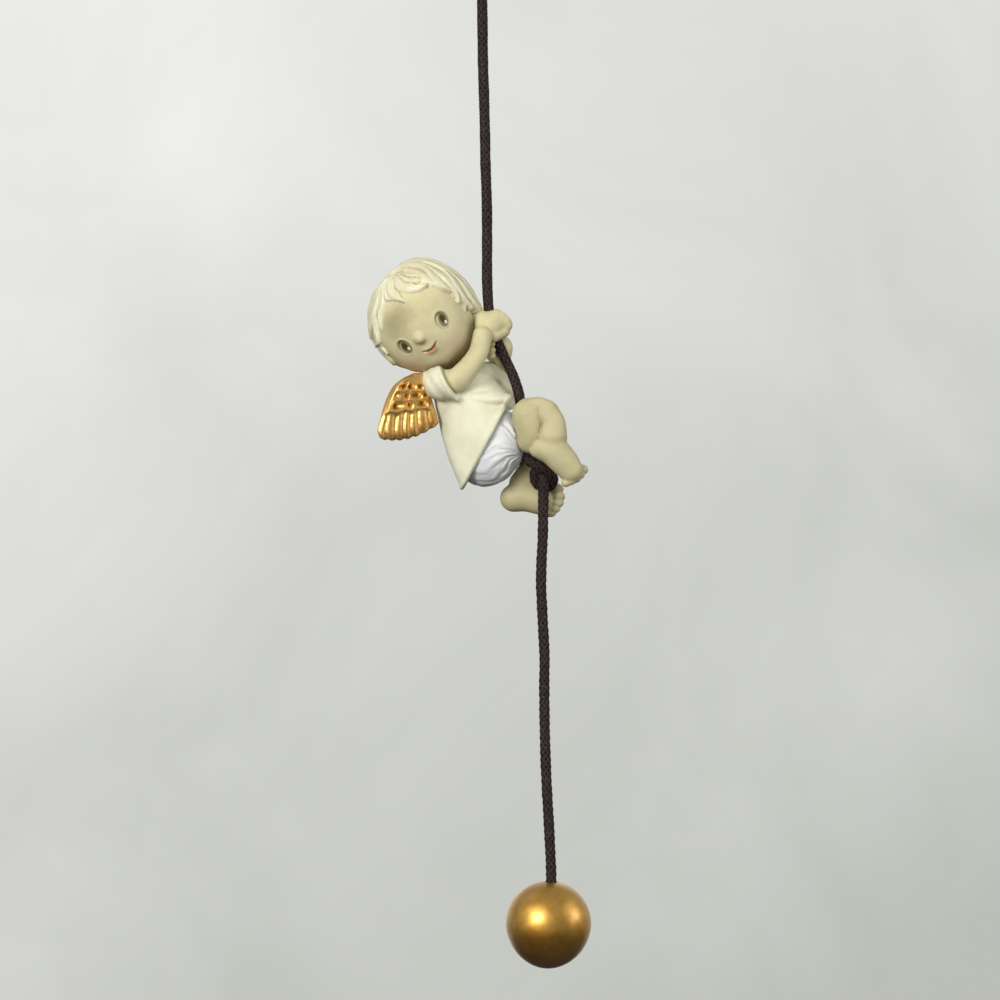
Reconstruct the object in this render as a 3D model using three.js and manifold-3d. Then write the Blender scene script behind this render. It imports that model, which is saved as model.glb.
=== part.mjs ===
// A hanging ornament: a small winged cherub climbs a braided cord, with a stop knot under its feet and a
// gold bead on the cord's end. Lengths are in millimetres and +Z is up. The cherub faces +X, towards the
// cord, and its right side is towards -Y. The origin is the top of the hanging loop, where a hook holds it.

import * as THREE from 'three';
import Module from 'manifold-3d';
import { ParametricGeometry } from 'three/addons/geometries/ParametricGeometry.js';
import { mergeVertices } from 'three/addons/utils/BufferGeometryUtils.js';

const wasm = await Module();
wasm.setup();

// Cord, hanging loop and knots
const CORD_DIAMETER = 2;
const LOOP_LENGTH = 20;
const LOOP_WIDTH = 9;
const LOOP_STRAND_DIAMETER = 2.8; // of the two cords that lie together in the loop knot
const LINK_GAP = 0.3; // between two stretches of the cord that turn on each other

// Bead on the end of the cord
const BEAD_DIAMETER = 16;
const BEAD_NOSE = 0.7; // how far the lower end stands proud of a ball
const BEAD_BORE_DEPTH = 10;
const BEAD_BORE_CLEARANCE = 0.3;
const BEAD_TILT = THREE.MathUtils.degToRad(3.6);

// Head and hair
const HEAD_RADIUS = 9.75;
const HEAD_CENTRE = new THREE.Vector3(-13.35, -1, 1.35); // from the grip on the cord
const HEAD_TILT = THREE.MathUtils.degToRad(37); // leaning towards the cord
const HEAD_TURN = THREE.MathUtils.degToRad(-16); // from straight towards -Y
const CHEEK_FULLNESS = 0.7;
const NOSE_HEIGHT = 1.1;
const EAR_RADIUS = 2.4;
const NECK_RADIUS = 2.6;
const HAIR_THICKNESS = 1;
const HAIRLINE_ANGLE = THREE.MathUtils.degToRad(57); // of the face opening, from its middle
const NAPE_HEIGHT = -3.5; // of the hair's lower edge beside the ears, from the head's centre
const NAPE_SLOPE = THREE.MathUtils.degToRad(22); // of that edge, down to the back

// Gown, nappy and limbs
const GLUE_GAP = 0.3; // between two glued castings
const CORD_CLEARANCE = 0.4; // round the cord in the fists
const NAPPY_LENGTH = 6.8;
const NAPPY_HEIGHT = 7.6;
const NAPPY_DEPTH = 6.6;
const SLEEVE_RADIUS = 3.1;
const ARM_RADIUS = 2.5;
const WRIST_RADIUS = 1.8;
const FIST_RADIUS = 2.8;
const THIGH_RADIUS = 3.2;
const CALF_RADIUS = 2.5;
const FOOT_RADIUS = 1.9;
const LEG_SPREAD = 4.7; // of each leg from the middle

// Wings
const WING_THICKNESS = 1.7;
const WING_EDGE = 0.35; // round of the plate's edge
const WING_SPREAD = 3.4; // of each wing's root from the middle
const WING_SPLAY = THREE.MathUtils.degToRad(14);
const WING_PEG_RADIUS = 0.75;
const WING_PEG_LENGTH = 3.6;
const FEATHER_COUNT = 6;
const FEATHER_SCALLOP = 0.6; // how far a feather's tip stands below the notches beside it
const WING_BELLY = 0.8; // how far the row of feather tips bows down

const CORD_RADIUS = CORD_DIAMETER / 2;
const HINGE_SPACE = CORD_RADIUS + LINK_GAP; // from a flat cord end to the centre of the round end below it
const DOWN = new THREE.Vector3(0, 0, -1);

const FINISHES = {
  cord: { color: 0x2b1d17, roughness: 0.6, metalness: 0 },
  gold: { color: 0xb8913f, roughness: 0.35, metalness: 0.8 },
  skin: { color: 0xd9c4a2, roughness: 0.55, metalness: 0 },
  hair: { color: 0xe6dcc3, roughness: 0.55, metalness: 0 },
  gown: { color: 0xddd0b0, roughness: 0.6, metalness: 0 },
  nappy: { color: 0xd5d3cd, roughness: 0.6, metalness: 0 },
};

// Solids

function solid(geometry) {
  const bare = geometry.clone();
  bare.deleteAttribute('normal');
  bare.deleteAttribute('uv');
  const merged = mergeVertices(bare);
  const corners = merged.index.array;
  const triVerts = [];
  for (let i = 0; i < corners.length; i += 3) {
    const triangle = [corners[i], corners[i + 1], corners[i + 2]];
    if (new Set(triangle).size === 3) triVerts.push(...triangle);
  }
  return new wasm.Manifold(new wasm.Mesh({
    numProp: 3,
    vertProperties: merged.attributes.position.array,
    triVerts: new Uint32Array(triVerts),
  }));
}

function joined(...solids) {
  return solids.reduce((whole, piece) => whole.add(piece));
}

// The main body of a casting that has been cut, without the crumbs of the cut.
function cut(casting, ...cutters) {
  const bodies = cutters.reduce((left, cutter) => left.subtract(cutter), casting).decompose();
  return bodies.reduce((largest, body) => (body.volume() > largest.volume() ? body : largest));
}

function mesh(name, shape, finish) {
  const { vertProperties, triVerts } = shape.getMesh();
  const geometry = new THREE.BufferGeometry();
  geometry.setAttribute('position', new THREE.BufferAttribute(vertProperties, 3));
  geometry.setIndex(new THREE.BufferAttribute(triVerts, 1));
  geometry.computeVertexNormals();
  const piece = new THREE.Mesh(geometry, new THREE.MeshStandardMaterial(FINISHES[finish]));
  piece.name = name;
  return piece;
}

// Forms

// One ring of a limb: its middle, its half-width in the XZ plane and its half-depth along Y.
function ring(x, y, z, wide, deep = wide) {
  return { middle: new THREE.Vector3(x, y, z), widths: new THREE.Vector3(wide, deep, 0) };
}

// The rings of a limb, each row as its middle and its half-widths.
function stations(...rows) {
  return rows.map((row) => ring(...row));
}

// A closed limb: rings carried along a smooth line, with an end cap that is round (1) or flat (0).
function limb(rings, { grow = 0, sides = 12, steps = 8, startCap = 1, endCap = 1 } = {}) {
  const CAP_STEPS = 3;
  const spine = new THREE.CatmullRomCurve3(rings.map((each) => each.middle));
  const widths = new THREE.CatmullRomCurve3(rings.map((each) => each.widths));
  const total = steps + 2 * CAP_STEPS;
  const surface = (u, v, target) => {
    const step = v * total - CAP_STEPS;
    const along = THREE.MathUtils.clamp(step / steps, 0, 1);
    const tangent = spine.getTangent(along);
    const across = new THREE.Vector3(tangent.z, 0, -tangent.x).normalize();
    const depth = new THREE.Vector3().crossVectors(tangent, across);
    const size = widths.getPoint(along).addScalar(grow);
    const beyond = step < 0 ? step / CAP_STEPS : Math.max(0, step - steps) / CAP_STEPS;
    const cap = beyond < 0 ? startCap : endCap;
    const closing = Math.cos(beyond * Math.PI / 2);
    const flatGrow = cap === 0 ? Math.sign(beyond) * grow : 0;
    const reach = Math.sin(beyond * Math.PI / 2) * size.x * cap + flatGrow;
    const turn = u * 2 * Math.PI;
    target.copy(spine.getPoint(along));
    target.addScaledVector(tangent, reach);
    target.addScaledVector(across, Math.cos(turn) * size.x * closing);
    target.addScaledVector(depth, Math.sin(turn) * size.y * closing);
  };
  return solid(new ParametricGeometry(surface, sides, total));
}

// A closed round form about a centre, from the radius that a direction gives.
function round(centre, radiusOf, sides = 20, rows = 14) {
  const surface = (u, v, target) => {
    target.setFromSphericalCoords(1, (1 - v) * Math.PI, u * 2 * Math.PI);
    target.multiplyScalar(radiusOf(target.clone())).add(centre);
  };
  return solid(new ParametricGeometry(surface, sides, rows));
}

function ellipsoid(centre, axes, radii, sides = 14, rows = 10) {
  const frame = new THREE.Matrix4().makeBasis(...axes);
  const geometry = new THREE.SphereGeometry(1, sides, rows);
  geometry.scale(radii[0], radii[1], radii[2]);
  geometry.applyMatrix4(frame);
  geometry.translate(centre.x, centre.y, centre.z);
  return solid(geometry);
}

function ball(centre, radius, sides = 12) {
  const geometry = new THREE.SphereGeometry(radius, sides, sides / 2);
  return solid(geometry.translate(centre.x, centre.y, centre.z));
}

function roundSection(radius) {
  return new THREE.Shape().absarc(0, 0, radius, 0, 2 * Math.PI);
}

// A tube of eight sides along a smooth curve through the points.
function tube(points, radius, spacing = 2.5) {
  const extrudePath = new THREE.CatmullRomCurve3(points);
  const steps = Math.max(2, Math.round(extrudePath.getLength() / (spacing * CORD_DIAMETER)));
  return solid(new THREE.ExtrudeGeometry(roundSection(radius), { extrudePath, steps, curveSegments: 4 }));
}

function points(...triples) {
  return triples.map((triple) => new THREE.Vector3(...triple));
}

// Route of the cord. The loop and its knot are fixed, and the rest is placed from where it starts to sway.

// An overhand knot in strand spacings: it enters at the top, crosses itself three times and leaves below.
const KNOT_TURNS = points(
  [-0.8, -0.4, 1.25], [-0.42, -0.6, 0.78], [0.15, 0, 0.6], [0.62, 0.62, 0.18],
  [1.15, 0.45, -0.65], [0.75, -0.35, -1.2], [-0.1, -0.64, -1.05], [-0.98, -0.3, -0.6],
  [-1.22, 0.4, 0.12], [-0.55, 0.68, 0.85], [0.48, 0.45, 1.3], [1.15, -0.35, 0.75], [0.62, -0.66, -0.05],
  [0.12, 0, -0.52], [-0.05, 0.58, -1], [0.12, 0.3, -1.55],
);
const KNOT_REACH = 2.3; // of a knot's straight ends from its middle
const KNOT_END = 0.3; // length of a straight end
const KNOT_SPACING = 1.3; // of crossing strands, in strand diameters
const KNOT_STEP = 0.8; // along a knotted strand, in cord diameters

function knotRoute(centre, strand, entry, exit) {
  const start = points([entry, 0, KNOT_REACH], [entry, 0, KNOT_REACH - KNOT_END]);
  const end = points([exit, 0, KNOT_END - KNOT_REACH], [exit, 0, -KNOT_REACH]);
  const turns = [...start, ...KNOT_TURNS, ...end];
  return turns.map((turn) => turn.clone().multiplyScalar(KNOT_SPACING * strand).add(centre));
}

function below(point, distance) {
  return point.clone().addScaledVector(DOWN, distance);
}

const loopKnotHeight = KNOT_REACH * KNOT_SPACING * LOOP_STRAND_DIAMETER;
const loopKnotCentre = new THREE.Vector3(0, 0, -LOOP_LENGTH - LINK_GAP - loopKnotHeight);
const loopKnotRoute = knotRoute(loopKnotCentre, LOOP_STRAND_DIAMETER, 0, 0);
const loopSway = below(loopKnotRoute.at(-1), HINGE_SPACE);

const strandOffset = CORD_RADIUS + LINK_GAP / 2;
const loopHalf = points(
  [strandOffset, 0, -LOOP_LENGTH],
  [strandOffset + 0.3, 0, -0.85 * LOOP_LENGTH],
  [0.42 * LOOP_WIDTH, 0, -0.55 * LOOP_LENGTH],
  [0.46 * LOOP_WIDTH, 0, -0.32 * LOOP_LENGTH],
  [0.3 * LOOP_WIDTH, 0, -0.12 * LOOP_LENGTH],
);
const loopTop = new THREE.Vector3(0, 0, -CORD_RADIUS);
const loopReturn = loopHalf.map((point) => new THREE.Vector3(-point.x, 0, point.z)).reverse();
const loopRoute = [...loopHalf, loopTop, ...loopReturn];

const SWAY = new THREE.Vector3(0, 0, 0);
const UPPER_FOLD = new THREE.Vector3(0.6, 0, -27.8);
const GRIP_TOP = new THREE.Vector3(1.7, 0, -59.4); // where the turning figure takes over the cord
const GRIP = new THREE.Vector3(1.9, 0, -60.7); // the cord's middle in the right fist
const STOP_KNOT_CENTRE = new THREE.Vector3(11, 0, -88.2);
const LOWER_FOLD = new THREE.Vector3(11.7, 0, -128.8);
const BEAD_MOUTH = new THREE.Vector3(13, 0, -165.1);

const stopKnotRoute = knotRoute(STOP_KNOT_CENTRE, CORD_DIAMETER, -0.8, 0.2);
const tailSway = below(stopKnotRoute.at(-1), HINGE_SPACE);
const boreDirection = DOWN.clone().applyAxisAngle(new THREE.Vector3(0, 1, 0), BEAD_TILT);
const boreEnd = BEAD_MOUTH.clone().addScaledVector(boreDirection, BEAD_BORE_DEPTH - BEAD_BORE_CLEARANCE);

const upperRouteA = [SWAY, ...points([0.1, 0, -7], [0.4, 0, -17]), below(UPPER_FOLD, -HINGE_SPACE)];
const upperRouteB = [UPPER_FOLD, GRIP_TOP];
const middleRoute = [
  below(GRIP_TOP, LINK_GAP),
  GRIP,
  ...points([2.4, 0, -62.2], [3.1, 0, -64], [4.2, 0, -66.5], [5.9, 0, -70.2]),
  ...points([7.2, 0, -73.8], [8.2, 0, -77.8]),
  below(stopKnotRoute[0], -LINK_GAP),
];
const lowerRouteA = [
  tailSway,
  ...points([11.4, 0, -100.8], [11, 0, -108.4], [11.5, 0, -115.8], [11.8, 0, -122.8]),
  below(LOWER_FOLD, -HINGE_SPACE),
];
const lowerRouteB = [
  LOWER_FOLD,
  ...points([11.8, 0, -136.8], [12.1, 0, -145.8], [12.7, 0, -156.8]),
  BEAD_MOUTH,
  boreEnd,
];

function stretch(name, route) {
  return mesh(name, tube(route, CORD_RADIUS), 'cord');
}

// A stretch whose upper end is rounded, so that it turns freely under the piece that holds it.
function hingedStretch(name, route) {
  return mesh(name, joined(tube(route, CORD_RADIUS), ball(route[0], CORD_RADIUS, 8)), 'cord');
}

function knot(name, route, strand) {
  return mesh(name, tube(route, strand / 2, KNOT_STEP), 'cord');
}

// Bead: a ball with a slightly drawn-out lower end and a blind bore from the top

function bead() {
  const radius = BEAD_DIAMETER / 2;
  const boreRadius = CORD_RADIUS + BEAD_BORE_CLEARANCE;
  const mouthAngle = Math.asin(boreRadius / radius);
  const mouthHeight = radius * Math.cos(mouthAngle);
  const ROWS = 14;
  const profile = [];
  for (let row = 0; row <= ROWS; row += 1) {
    const angle = Math.PI - row / ROWS * (Math.PI - mouthAngle);
    const droop = BEAD_NOSE * Math.max(0, -Math.cos(angle)) ** 3;
    profile.push(new THREE.Vector2(radius * Math.sin(angle), radius * Math.cos(angle) - droop));
  }
  profile[0].x = 0;
  profile.push(new THREE.Vector2(boreRadius, mouthHeight - BEAD_BORE_DEPTH));
  profile.push(new THREE.Vector2(0, mouthHeight - BEAD_BORE_DEPTH));
  const turned = new THREE.LatheGeometry(profile, 24).rotateX(Math.PI / 2);
  const piece = mesh('bead', solid(turned), 'gold');
  piece.position.copy(BEAD_MOUTH).addScaledVector(boreDirection, mouthHeight);
  piece.rotation.y = BEAD_TILT;
  return piece;
}

// The figure's pieces are placed from the grip on the cord

function cordSpace(clearance) {
  const space = joined(
    tube([UPPER_FOLD, GRIP_TOP, GRIP], CORD_RADIUS + clearance),
    tube([GRIP_TOP, ...middleRoute.slice(1), stopKnotRoute[0]], CORD_RADIUS + clearance, 1.5),
    tube(stopKnotRoute, CORD_RADIUS + clearance, KNOT_STEP),
    tube([stopKnotRoute.at(-1), ...lowerRouteA], CORD_RADIUS + clearance),
  );
  return space.translate(GRIP.clone().negate().toArray());
}

// Axes of the head: to its own left, up and straight out of its face
const headUp = new THREE.Vector3(-Math.sin(HEAD_TILT), 0, Math.cos(HEAD_TILT));
const headFront = new THREE.Vector3(0, -1, 0).applyAxisAngle(headUp, HEAD_TURN);
const headLeft = new THREE.Vector3().crossVectors(headUp, headFront);

function fromHead(left, up, front) {
  const place = HEAD_CENTRE.clone().addScaledVector(headLeft, left);
  return place.addScaledVector(headUp, up).addScaledVector(headFront, front);
}

function skullRadius(direction) {
  const up = direction.dot(headUp);
  const front = direction.dot(headFront);
  const cheeks = CHEEK_FULLNESS * Math.max(0, -up) * Math.max(0, 0.5 + 0.5 * front);
  return HEAD_RADIUS + cheeks;
}

const NECK_STATIONS = stations([-9.9, -0.3, -9.8, NECK_RADIUS], [-9.1, 0, -11.6, NECK_RADIUS]);

function head(grow) {
  const skull = round(HEAD_CENTRE, (direction) => skullRadius(direction) + grow, 22, 15);
  const nose = ball(fromHead(0, -0.12 * HEAD_RADIUS, HEAD_RADIUS - 0.2), NOSE_HEIGHT + grow, 10);
  const ears = [-1, 1].map((side) => {
    const centre = fromHead(side * (HEAD_RADIUS - 0.3), -0.2 * HEAD_RADIUS, -0.1 * HEAD_RADIUS);
    const radii = [0.5 * EAR_RADIUS + grow, EAR_RADIUS + grow, 0.7 * EAR_RADIUS + grow];
    return ellipsoid(centre, [headLeft, headUp, headFront], radii, 10, 8);
  });
  const neckTop = ring(HEAD_CENTRE.x, HEAD_CENTRE.y, HEAD_CENTRE.z - 0.6 * HEAD_RADIUS, NECK_RADIUS);
  const neck = limb([neckTop, ...NECK_STATIONS], { grow, steps: 3, sides: 12, endCap: 0.3 });
  return joined(skull, nose, ...ears, neck);
}

function hair(grow) {
  const shell = round(HEAD_CENTRE, (direction) => skullRadius(direction) + HAIR_THICKNESS + grow, 22, 15);
  const openingMiddle = fromHead(0, -0.34 * HEAD_RADIUS, HEAD_RADIUS);
  const openingRadius = 2 * HEAD_RADIUS * Math.sin(HAIRLINE_ANGLE / 2);
  const faceOpening = ball(openingMiddle, openingRadius - grow, 20);
  const napeCut = new THREE.CylinderGeometry(2 * HEAD_RADIUS, 2 * HEAD_RADIUS, 2 * HEAD_RADIUS, 12);
  napeCut.translate(0, NAPE_HEIGHT - HEAD_RADIUS - grow, 0);
  napeCut.rotateX(-NAPE_SLOPE);
  napeCut.applyMatrix4(new THREE.Matrix4().makeBasis(headLeft, headUp, headFront));
  return shell.subtract(faceOpening).subtract(solid(napeCut).translate(HEAD_CENTRE.toArray()));
}

const GOWN_AXIS = new THREE.Vector3(0.886, 0, -0.464); // square to the hem
const GOWN_ACROSS = new THREE.Vector3(0.464, 0, 0.886);
const NAPPY_CENTRE = new THREE.Vector3(-0.4, 0, -23.1);

function nappy(grow) {
  const radii = [NAPPY_LENGTH + grow, NAPPY_DEPTH + grow, NAPPY_HEIGHT + grow];
  return ellipsoid(NAPPY_CENTRE, [GOWN_AXIS, new THREE.Vector3(0, 1, 0), GOWN_ACROSS], radii, 16, 10);
}

const GOWN_BODY = stations(
  [-10.5, 0, -9.6, 2, 2.6],
  [-9.5, 0, -11.4, 3.3, 4.9],
  [-7.5, 0, -14.3, 4.2, 5.6],
  [-5.4, 0, -17.9, 6, 6.1],
  [-3.4, 0, -20.6, 7.7, 6.7],
  [-1.2, 0, -21.8, 9.4, 7.3],
);
const RIGHT_SLEEVE = stations(
  [-9.5, -2, -10.6, SLEEVE_RADIUS],
  [-8.9, -4.8, -11.1, SLEEVE_RADIUS],
  [-7.6, -6.2, -11.3, SLEEVE_RADIUS],
);
const LEFT_ELBOW = [1.4, 4.7, -13.2, 0.95 * SLEEVE_RADIUS];
const LEFT_UPPER_SLEEVE = stations(
  [-8.6, 3.4, -11.4, SLEEVE_RADIUS],
  [-3.3, 4.8, -12.8, SLEEVE_RADIUS],
  LEFT_ELBOW,
);
const LEFT_CUFF = stations(
  LEFT_ELBOW,
  [1, 4.2, -10.8, 0.85 * SLEEVE_RADIUS],
  [0.3, 3.4, -8.6, 0.72 * SLEEVE_RADIUS],
);

function gown(grow) {
  const body = limb(GOWN_BODY, { grow, sides: 20, steps: 9, endCap: 0 });
  const rightSleeve = limb(RIGHT_SLEEVE, { grow, steps: 4, endCap: 0.3 });
  const leftUpperSleeve = limb(LEFT_UPPER_SLEEVE, { grow, steps: 4 });
  const leftCuff = limb(LEFT_CUFF, { grow, steps: 4, endCap: 0.2 });
  return joined(body, rightSleeve, leftUpperSleeve, leftCuff);
}

const RIGHT_ARM = stations(
  [-8.2, -5.5, -11.1, ARM_RADIUS],
  [-5.6, -6.5, -10.8, ARM_RADIUS],
  [-3.6, -5.8, -7.6, ARM_RADIUS],
  [-2.2, -4.3, -4.4, 1.2 * WRIST_RADIUS],
  [-1.2, -2.6, -1.6, 1.2 * WRIST_RADIUS],
);
const RIGHT_FIST = stations(
  [-1.4, -0.9, 1.5, 0.72 * FIST_RADIUS, 0.85 * FIST_RADIUS],
  [0.3, -0.7, 0.5, 0.95 * FIST_RADIUS],
  [1.9, -0.5, -0.3, 0.72 * FIST_RADIUS, 0.85 * FIST_RADIUS],
);

function rightArm(grow) {
  return joined(limb(RIGHT_ARM, { grow }), limb(RIGHT_FIST, { grow, steps: 5 }));
}

const LEFT_ARM = stations(
  [0.9, 4.1, -10.4, WRIST_RADIUS],
  [0.5, 3.4, -7.8, WRIST_RADIUS],
  [1.1, 2.4, -5.6, WRIST_RADIUS],
);
const LEFT_FIST = new THREE.Vector3(1.6, 1.6, -4.3);

function leftArm(grow) {
  return joined(limb(LEFT_ARM, { grow, steps: 5 }), ball(LEFT_FIST, 0.82 * FIST_RADIUS + grow, 12));
}

const RIGHT_THIGH = stations(
  [4, -LEG_SPREAD + 2.1, -21.8, 0.9 * THIGH_RADIUS],
  [6.2, -LEG_SPREAD + 0.2, -20.8, 0.9 * THIGH_RADIUS],
  [7.1, -LEG_SPREAD, -18.5, THIGH_RADIUS],
  [8.7, -LEG_SPREAD, -16.6, 0.95 * THIGH_RADIUS],
);
const RIGHT_CALF = stations(
  [10.5, -LEG_SPREAD, -16.2, 0.9 * CALF_RADIUS],
  [11.4, -LEG_SPREAD, -18.6, 0.88 * CALF_RADIUS],
  [11, -LEG_SPREAD, -21.6, 1.1 * CALF_RADIUS],
);
const RIGHT_FOOT = stations(
  [8.3, -LEG_SPREAD + 0.1, -23.6, 0.75 * FOOT_RADIUS],
  [11.2, -LEG_SPREAD - 0.1, -23.7, 1.3 * FOOT_RADIUS],
  [13.4, -LEG_SPREAD - 0.2, -25.2, 1.2 * FOOT_RADIUS],
  [15, -LEG_SPREAD - 0.4, -27.5, 1.05 * FOOT_RADIUS],
  [16.2, -LEG_SPREAD - 0.4, -27.9, 0.75 * FOOT_RADIUS],
);

function rightLeg(grow) {
  const thigh = limb(RIGHT_THIGH, { grow, steps: 6 });
  const calf = limb(RIGHT_CALF, { grow, steps: 4 });
  const foot = limb(RIGHT_FOOT, { grow, steps: 8 });
  return joined(thigh, calf, foot);
}

const LEFT_THIGH = stations(
  [2.1, LEG_SPREAD - 0.7, -23.4, 1.05 * THIGH_RADIUS],
  [6, LEG_SPREAD, -22, 1.05 * THIGH_RADIUS],
  [9, LEG_SPREAD, -21.2, 0.95 * THIGH_RADIUS],
);
const LEFT_CALF = stations(
  [9.4, LEG_SPREAD, -21.4, 1.1 * CALF_RADIUS],
  [9, LEG_SPREAD, -25.4, 1.1 * CALF_RADIUS],
  [6.6, LEG_SPREAD - 0.6, -29.6, CALF_RADIUS],
);
const LEFT_FOOT = stations(
  [4.2, LEG_SPREAD - 1, -32.2, 1.35 * FOOT_RADIUS, 1.2 * FOOT_RADIUS],
  [7.4, LEG_SPREAD - 1.2, -32, 1.4 * FOOT_RADIUS, 1.1 * FOOT_RADIUS],
  [11.2, LEG_SPREAD - 1.4, -32.8, 1.45 * FOOT_RADIUS, 0.8 * FOOT_RADIUS],
);

function leftLeg(grow) {
  const thigh = limb(LEFT_THIGH, { grow, steps: 5 });
  const calf = limb(LEFT_CALF, { grow, steps: 5 });
  const foot = limb(LEFT_FOOT, { grow, steps: 6 });
  return joined(thigh, calf, foot);
}

// A wing: a plate with a smooth leading edge and scalloped feather tips, seen from the figure's right side
const WING_TOP = new THREE.Vector2(-2.4, 4.9);
const WING_TIP = new THREE.Vector2(-10.6, -6.6);
const WING_HEEL = new THREE.Vector2(0.3, -4.3);
const WING_BACK = new THREE.Vector2(-0.6, 0.6);
const WING_LEAD = [
  new THREE.Vector2(-4.4, 4.8),
  new THREE.Vector2(-6.7, 3.4),
  new THREE.Vector2(-8.9, 0.6),
  new THREE.Vector2(-10.1, -3.2),
];

function wingOutline() {
  const outline = new THREE.Shape();
  outline.moveTo(WING_TOP.x, WING_TOP.y);
  outline.splineThru([...WING_LEAD, WING_TIP]);
  const lowerEdge = (share) => {
    const point = WING_TIP.clone().lerp(WING_HEEL, share);
    point.y -= WING_BELLY * Math.sin(Math.PI * share);
    return point;
  };
  for (let feather = 1; feather <= FEATHER_COUNT; feather += 1) {
    const middle = lowerEdge((feather - 0.5) / FEATHER_COUNT);
    const end = lowerEdge(feather / FEATHER_COUNT);
    outline.quadraticCurveTo(middle.x, middle.y - 2 * FEATHER_SCALLOP, end.x, end.y);
  }
  outline.quadraticCurveTo(WING_BACK.x, WING_BACK.y, WING_TOP.x, WING_TOP.y);
  return outline;
}

const WING_ROOT = new THREE.Vector3(-10.5, 0, -13.9);

function wingPlate(side, grow) {
  const edge = WING_EDGE;
  const plate = new THREE.ExtrudeGeometry(wingOutline(), {
    depth: WING_THICKNESS - 2 * edge + 2 * grow,
    bevelThickness: edge,
    bevelSize: edge,
    bevelOffset: -edge,
    bevelSegments: 1,
    curveSegments: 4,
  });
  plate.translate(0, 0, edge - WING_THICKNESS / 2 - grow);
  plate.rotateX(Math.PI / 2);
  plate.rotateZ(-side * WING_SPLAY);
  plate.translate(WING_ROOT.x, side * WING_SPREAD, WING_ROOT.z);
  return solid(plate);
}

function wingPeg(side, grow) {
  const radius = WING_PEG_RADIUS + grow;
  const length = WING_PEG_LENGTH + grow;
  const peg = new THREE.CylinderGeometry(radius, radius, 2 * length, 10).rotateZ(Math.PI / 2);
  peg.rotateZ(-side * WING_SPLAY);
  return solid(peg.translate(WING_ROOT.x, side * WING_SPREAD, WING_ROOT.z - 1.2));
}

function figurePieces() {
  const cord = cordSpace(CORD_CLEARANCE);
  const headGap = head(GLUE_GAP);
  const hairGap = hair(GLUE_GAP);
  const gownGap = gown(GLUE_GAP);
  const nappyGap = nappy(GLUE_GAP);
  const pegs = [-1, 1].map((side) => wingPeg(side, 0));
  const pegGaps = [-1, 1].map((side) => wingPeg(side, GLUE_GAP));
  const wings = [-1, 1].map((side) => cut(wingPlate(side, 0), gownGap, headGap, hairGap));
  return [
    mesh('head', cut(head(0), cord), 'skin'),
    mesh('hair', cut(hair(0), headGap, cord), 'hair'),
    mesh('gown', cut(gown(0), nappyGap, headGap, hairGap, cord, ...pegGaps), 'gown'),
    mesh('nappy', cut(nappy(0), cord), 'nappy'),
    mesh('right_arm', cut(rightArm(0), gownGap, headGap, hairGap, cord), 'skin'),
    mesh('left_arm', cut(leftArm(0), gownGap, headGap, hairGap, rightArm(GLUE_GAP), cord), 'skin'),
    mesh('right_leg', cut(rightLeg(0), gownGap, nappyGap, cord), 'skin'),
    mesh('left_leg', cut(leftLeg(0), gownGap, nappyGap, rightLeg(GLUE_GAP), cord), 'skin'),
    mesh('right_wing', joined(wings[0], pegs[0]), 'gold'),
    mesh('left_wing', joined(wings[1], pegs[1]), 'gold'),
  ];
}

const figure = new THREE.Group();
figure.position.copy(GRIP);
figure.add(...figurePieces());

const strung = new THREE.Group();
strung.position.copy(loopSway);
strung.add(
  hingedStretch('cord_upper_a', upperRouteA),
  hingedStretch('cord_upper_b', upperRouteB),
  figure,
  stretch('cord_middle', middleRoute),
  knot('stop_knot', stopKnotRoute, CORD_DIAMETER),
  hingedStretch('cord_lower_a', lowerRouteA),
  hingedStretch('cord_lower_b', lowerRouteB),
  bead(),
);

const ornament = new THREE.Group();
ornament.add(
  stretch('hang_loop', loopRoute),
  knot('loop_knot', loopKnotRoute, LOOP_STRAND_DIAMETER),
  strung,
);

export default ornament;
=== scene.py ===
import bpy
import numpy as np
import openvdb
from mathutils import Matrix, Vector


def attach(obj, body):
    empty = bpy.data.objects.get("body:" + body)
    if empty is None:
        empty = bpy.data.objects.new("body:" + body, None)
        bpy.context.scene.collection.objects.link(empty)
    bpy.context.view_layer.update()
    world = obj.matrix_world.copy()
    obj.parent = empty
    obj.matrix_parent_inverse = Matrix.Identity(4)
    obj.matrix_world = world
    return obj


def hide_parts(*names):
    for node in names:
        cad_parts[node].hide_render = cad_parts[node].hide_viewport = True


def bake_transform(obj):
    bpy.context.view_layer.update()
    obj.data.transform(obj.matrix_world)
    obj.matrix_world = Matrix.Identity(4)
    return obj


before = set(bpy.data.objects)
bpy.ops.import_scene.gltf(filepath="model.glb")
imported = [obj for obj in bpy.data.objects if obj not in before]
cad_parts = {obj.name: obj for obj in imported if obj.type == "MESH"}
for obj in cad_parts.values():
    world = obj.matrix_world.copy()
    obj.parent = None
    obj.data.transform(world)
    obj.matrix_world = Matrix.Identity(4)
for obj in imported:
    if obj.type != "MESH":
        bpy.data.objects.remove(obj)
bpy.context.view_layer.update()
scene = bpy.context.scene
scene.view_settings.view_transform = "Standard"

# Camera, level with the middle of the picture and far enough away for a long lens. The picture is
# 188 mm wide where the cord hangs, and the cord's loop is just above its upper edge.
CAMERA_AWAY = 0.8
PICTURE_WIDTH = 0.188
PICTURE_MIDDLE = (0.00338, -0.1317)
SENSOR_WIDTH = 36

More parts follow.
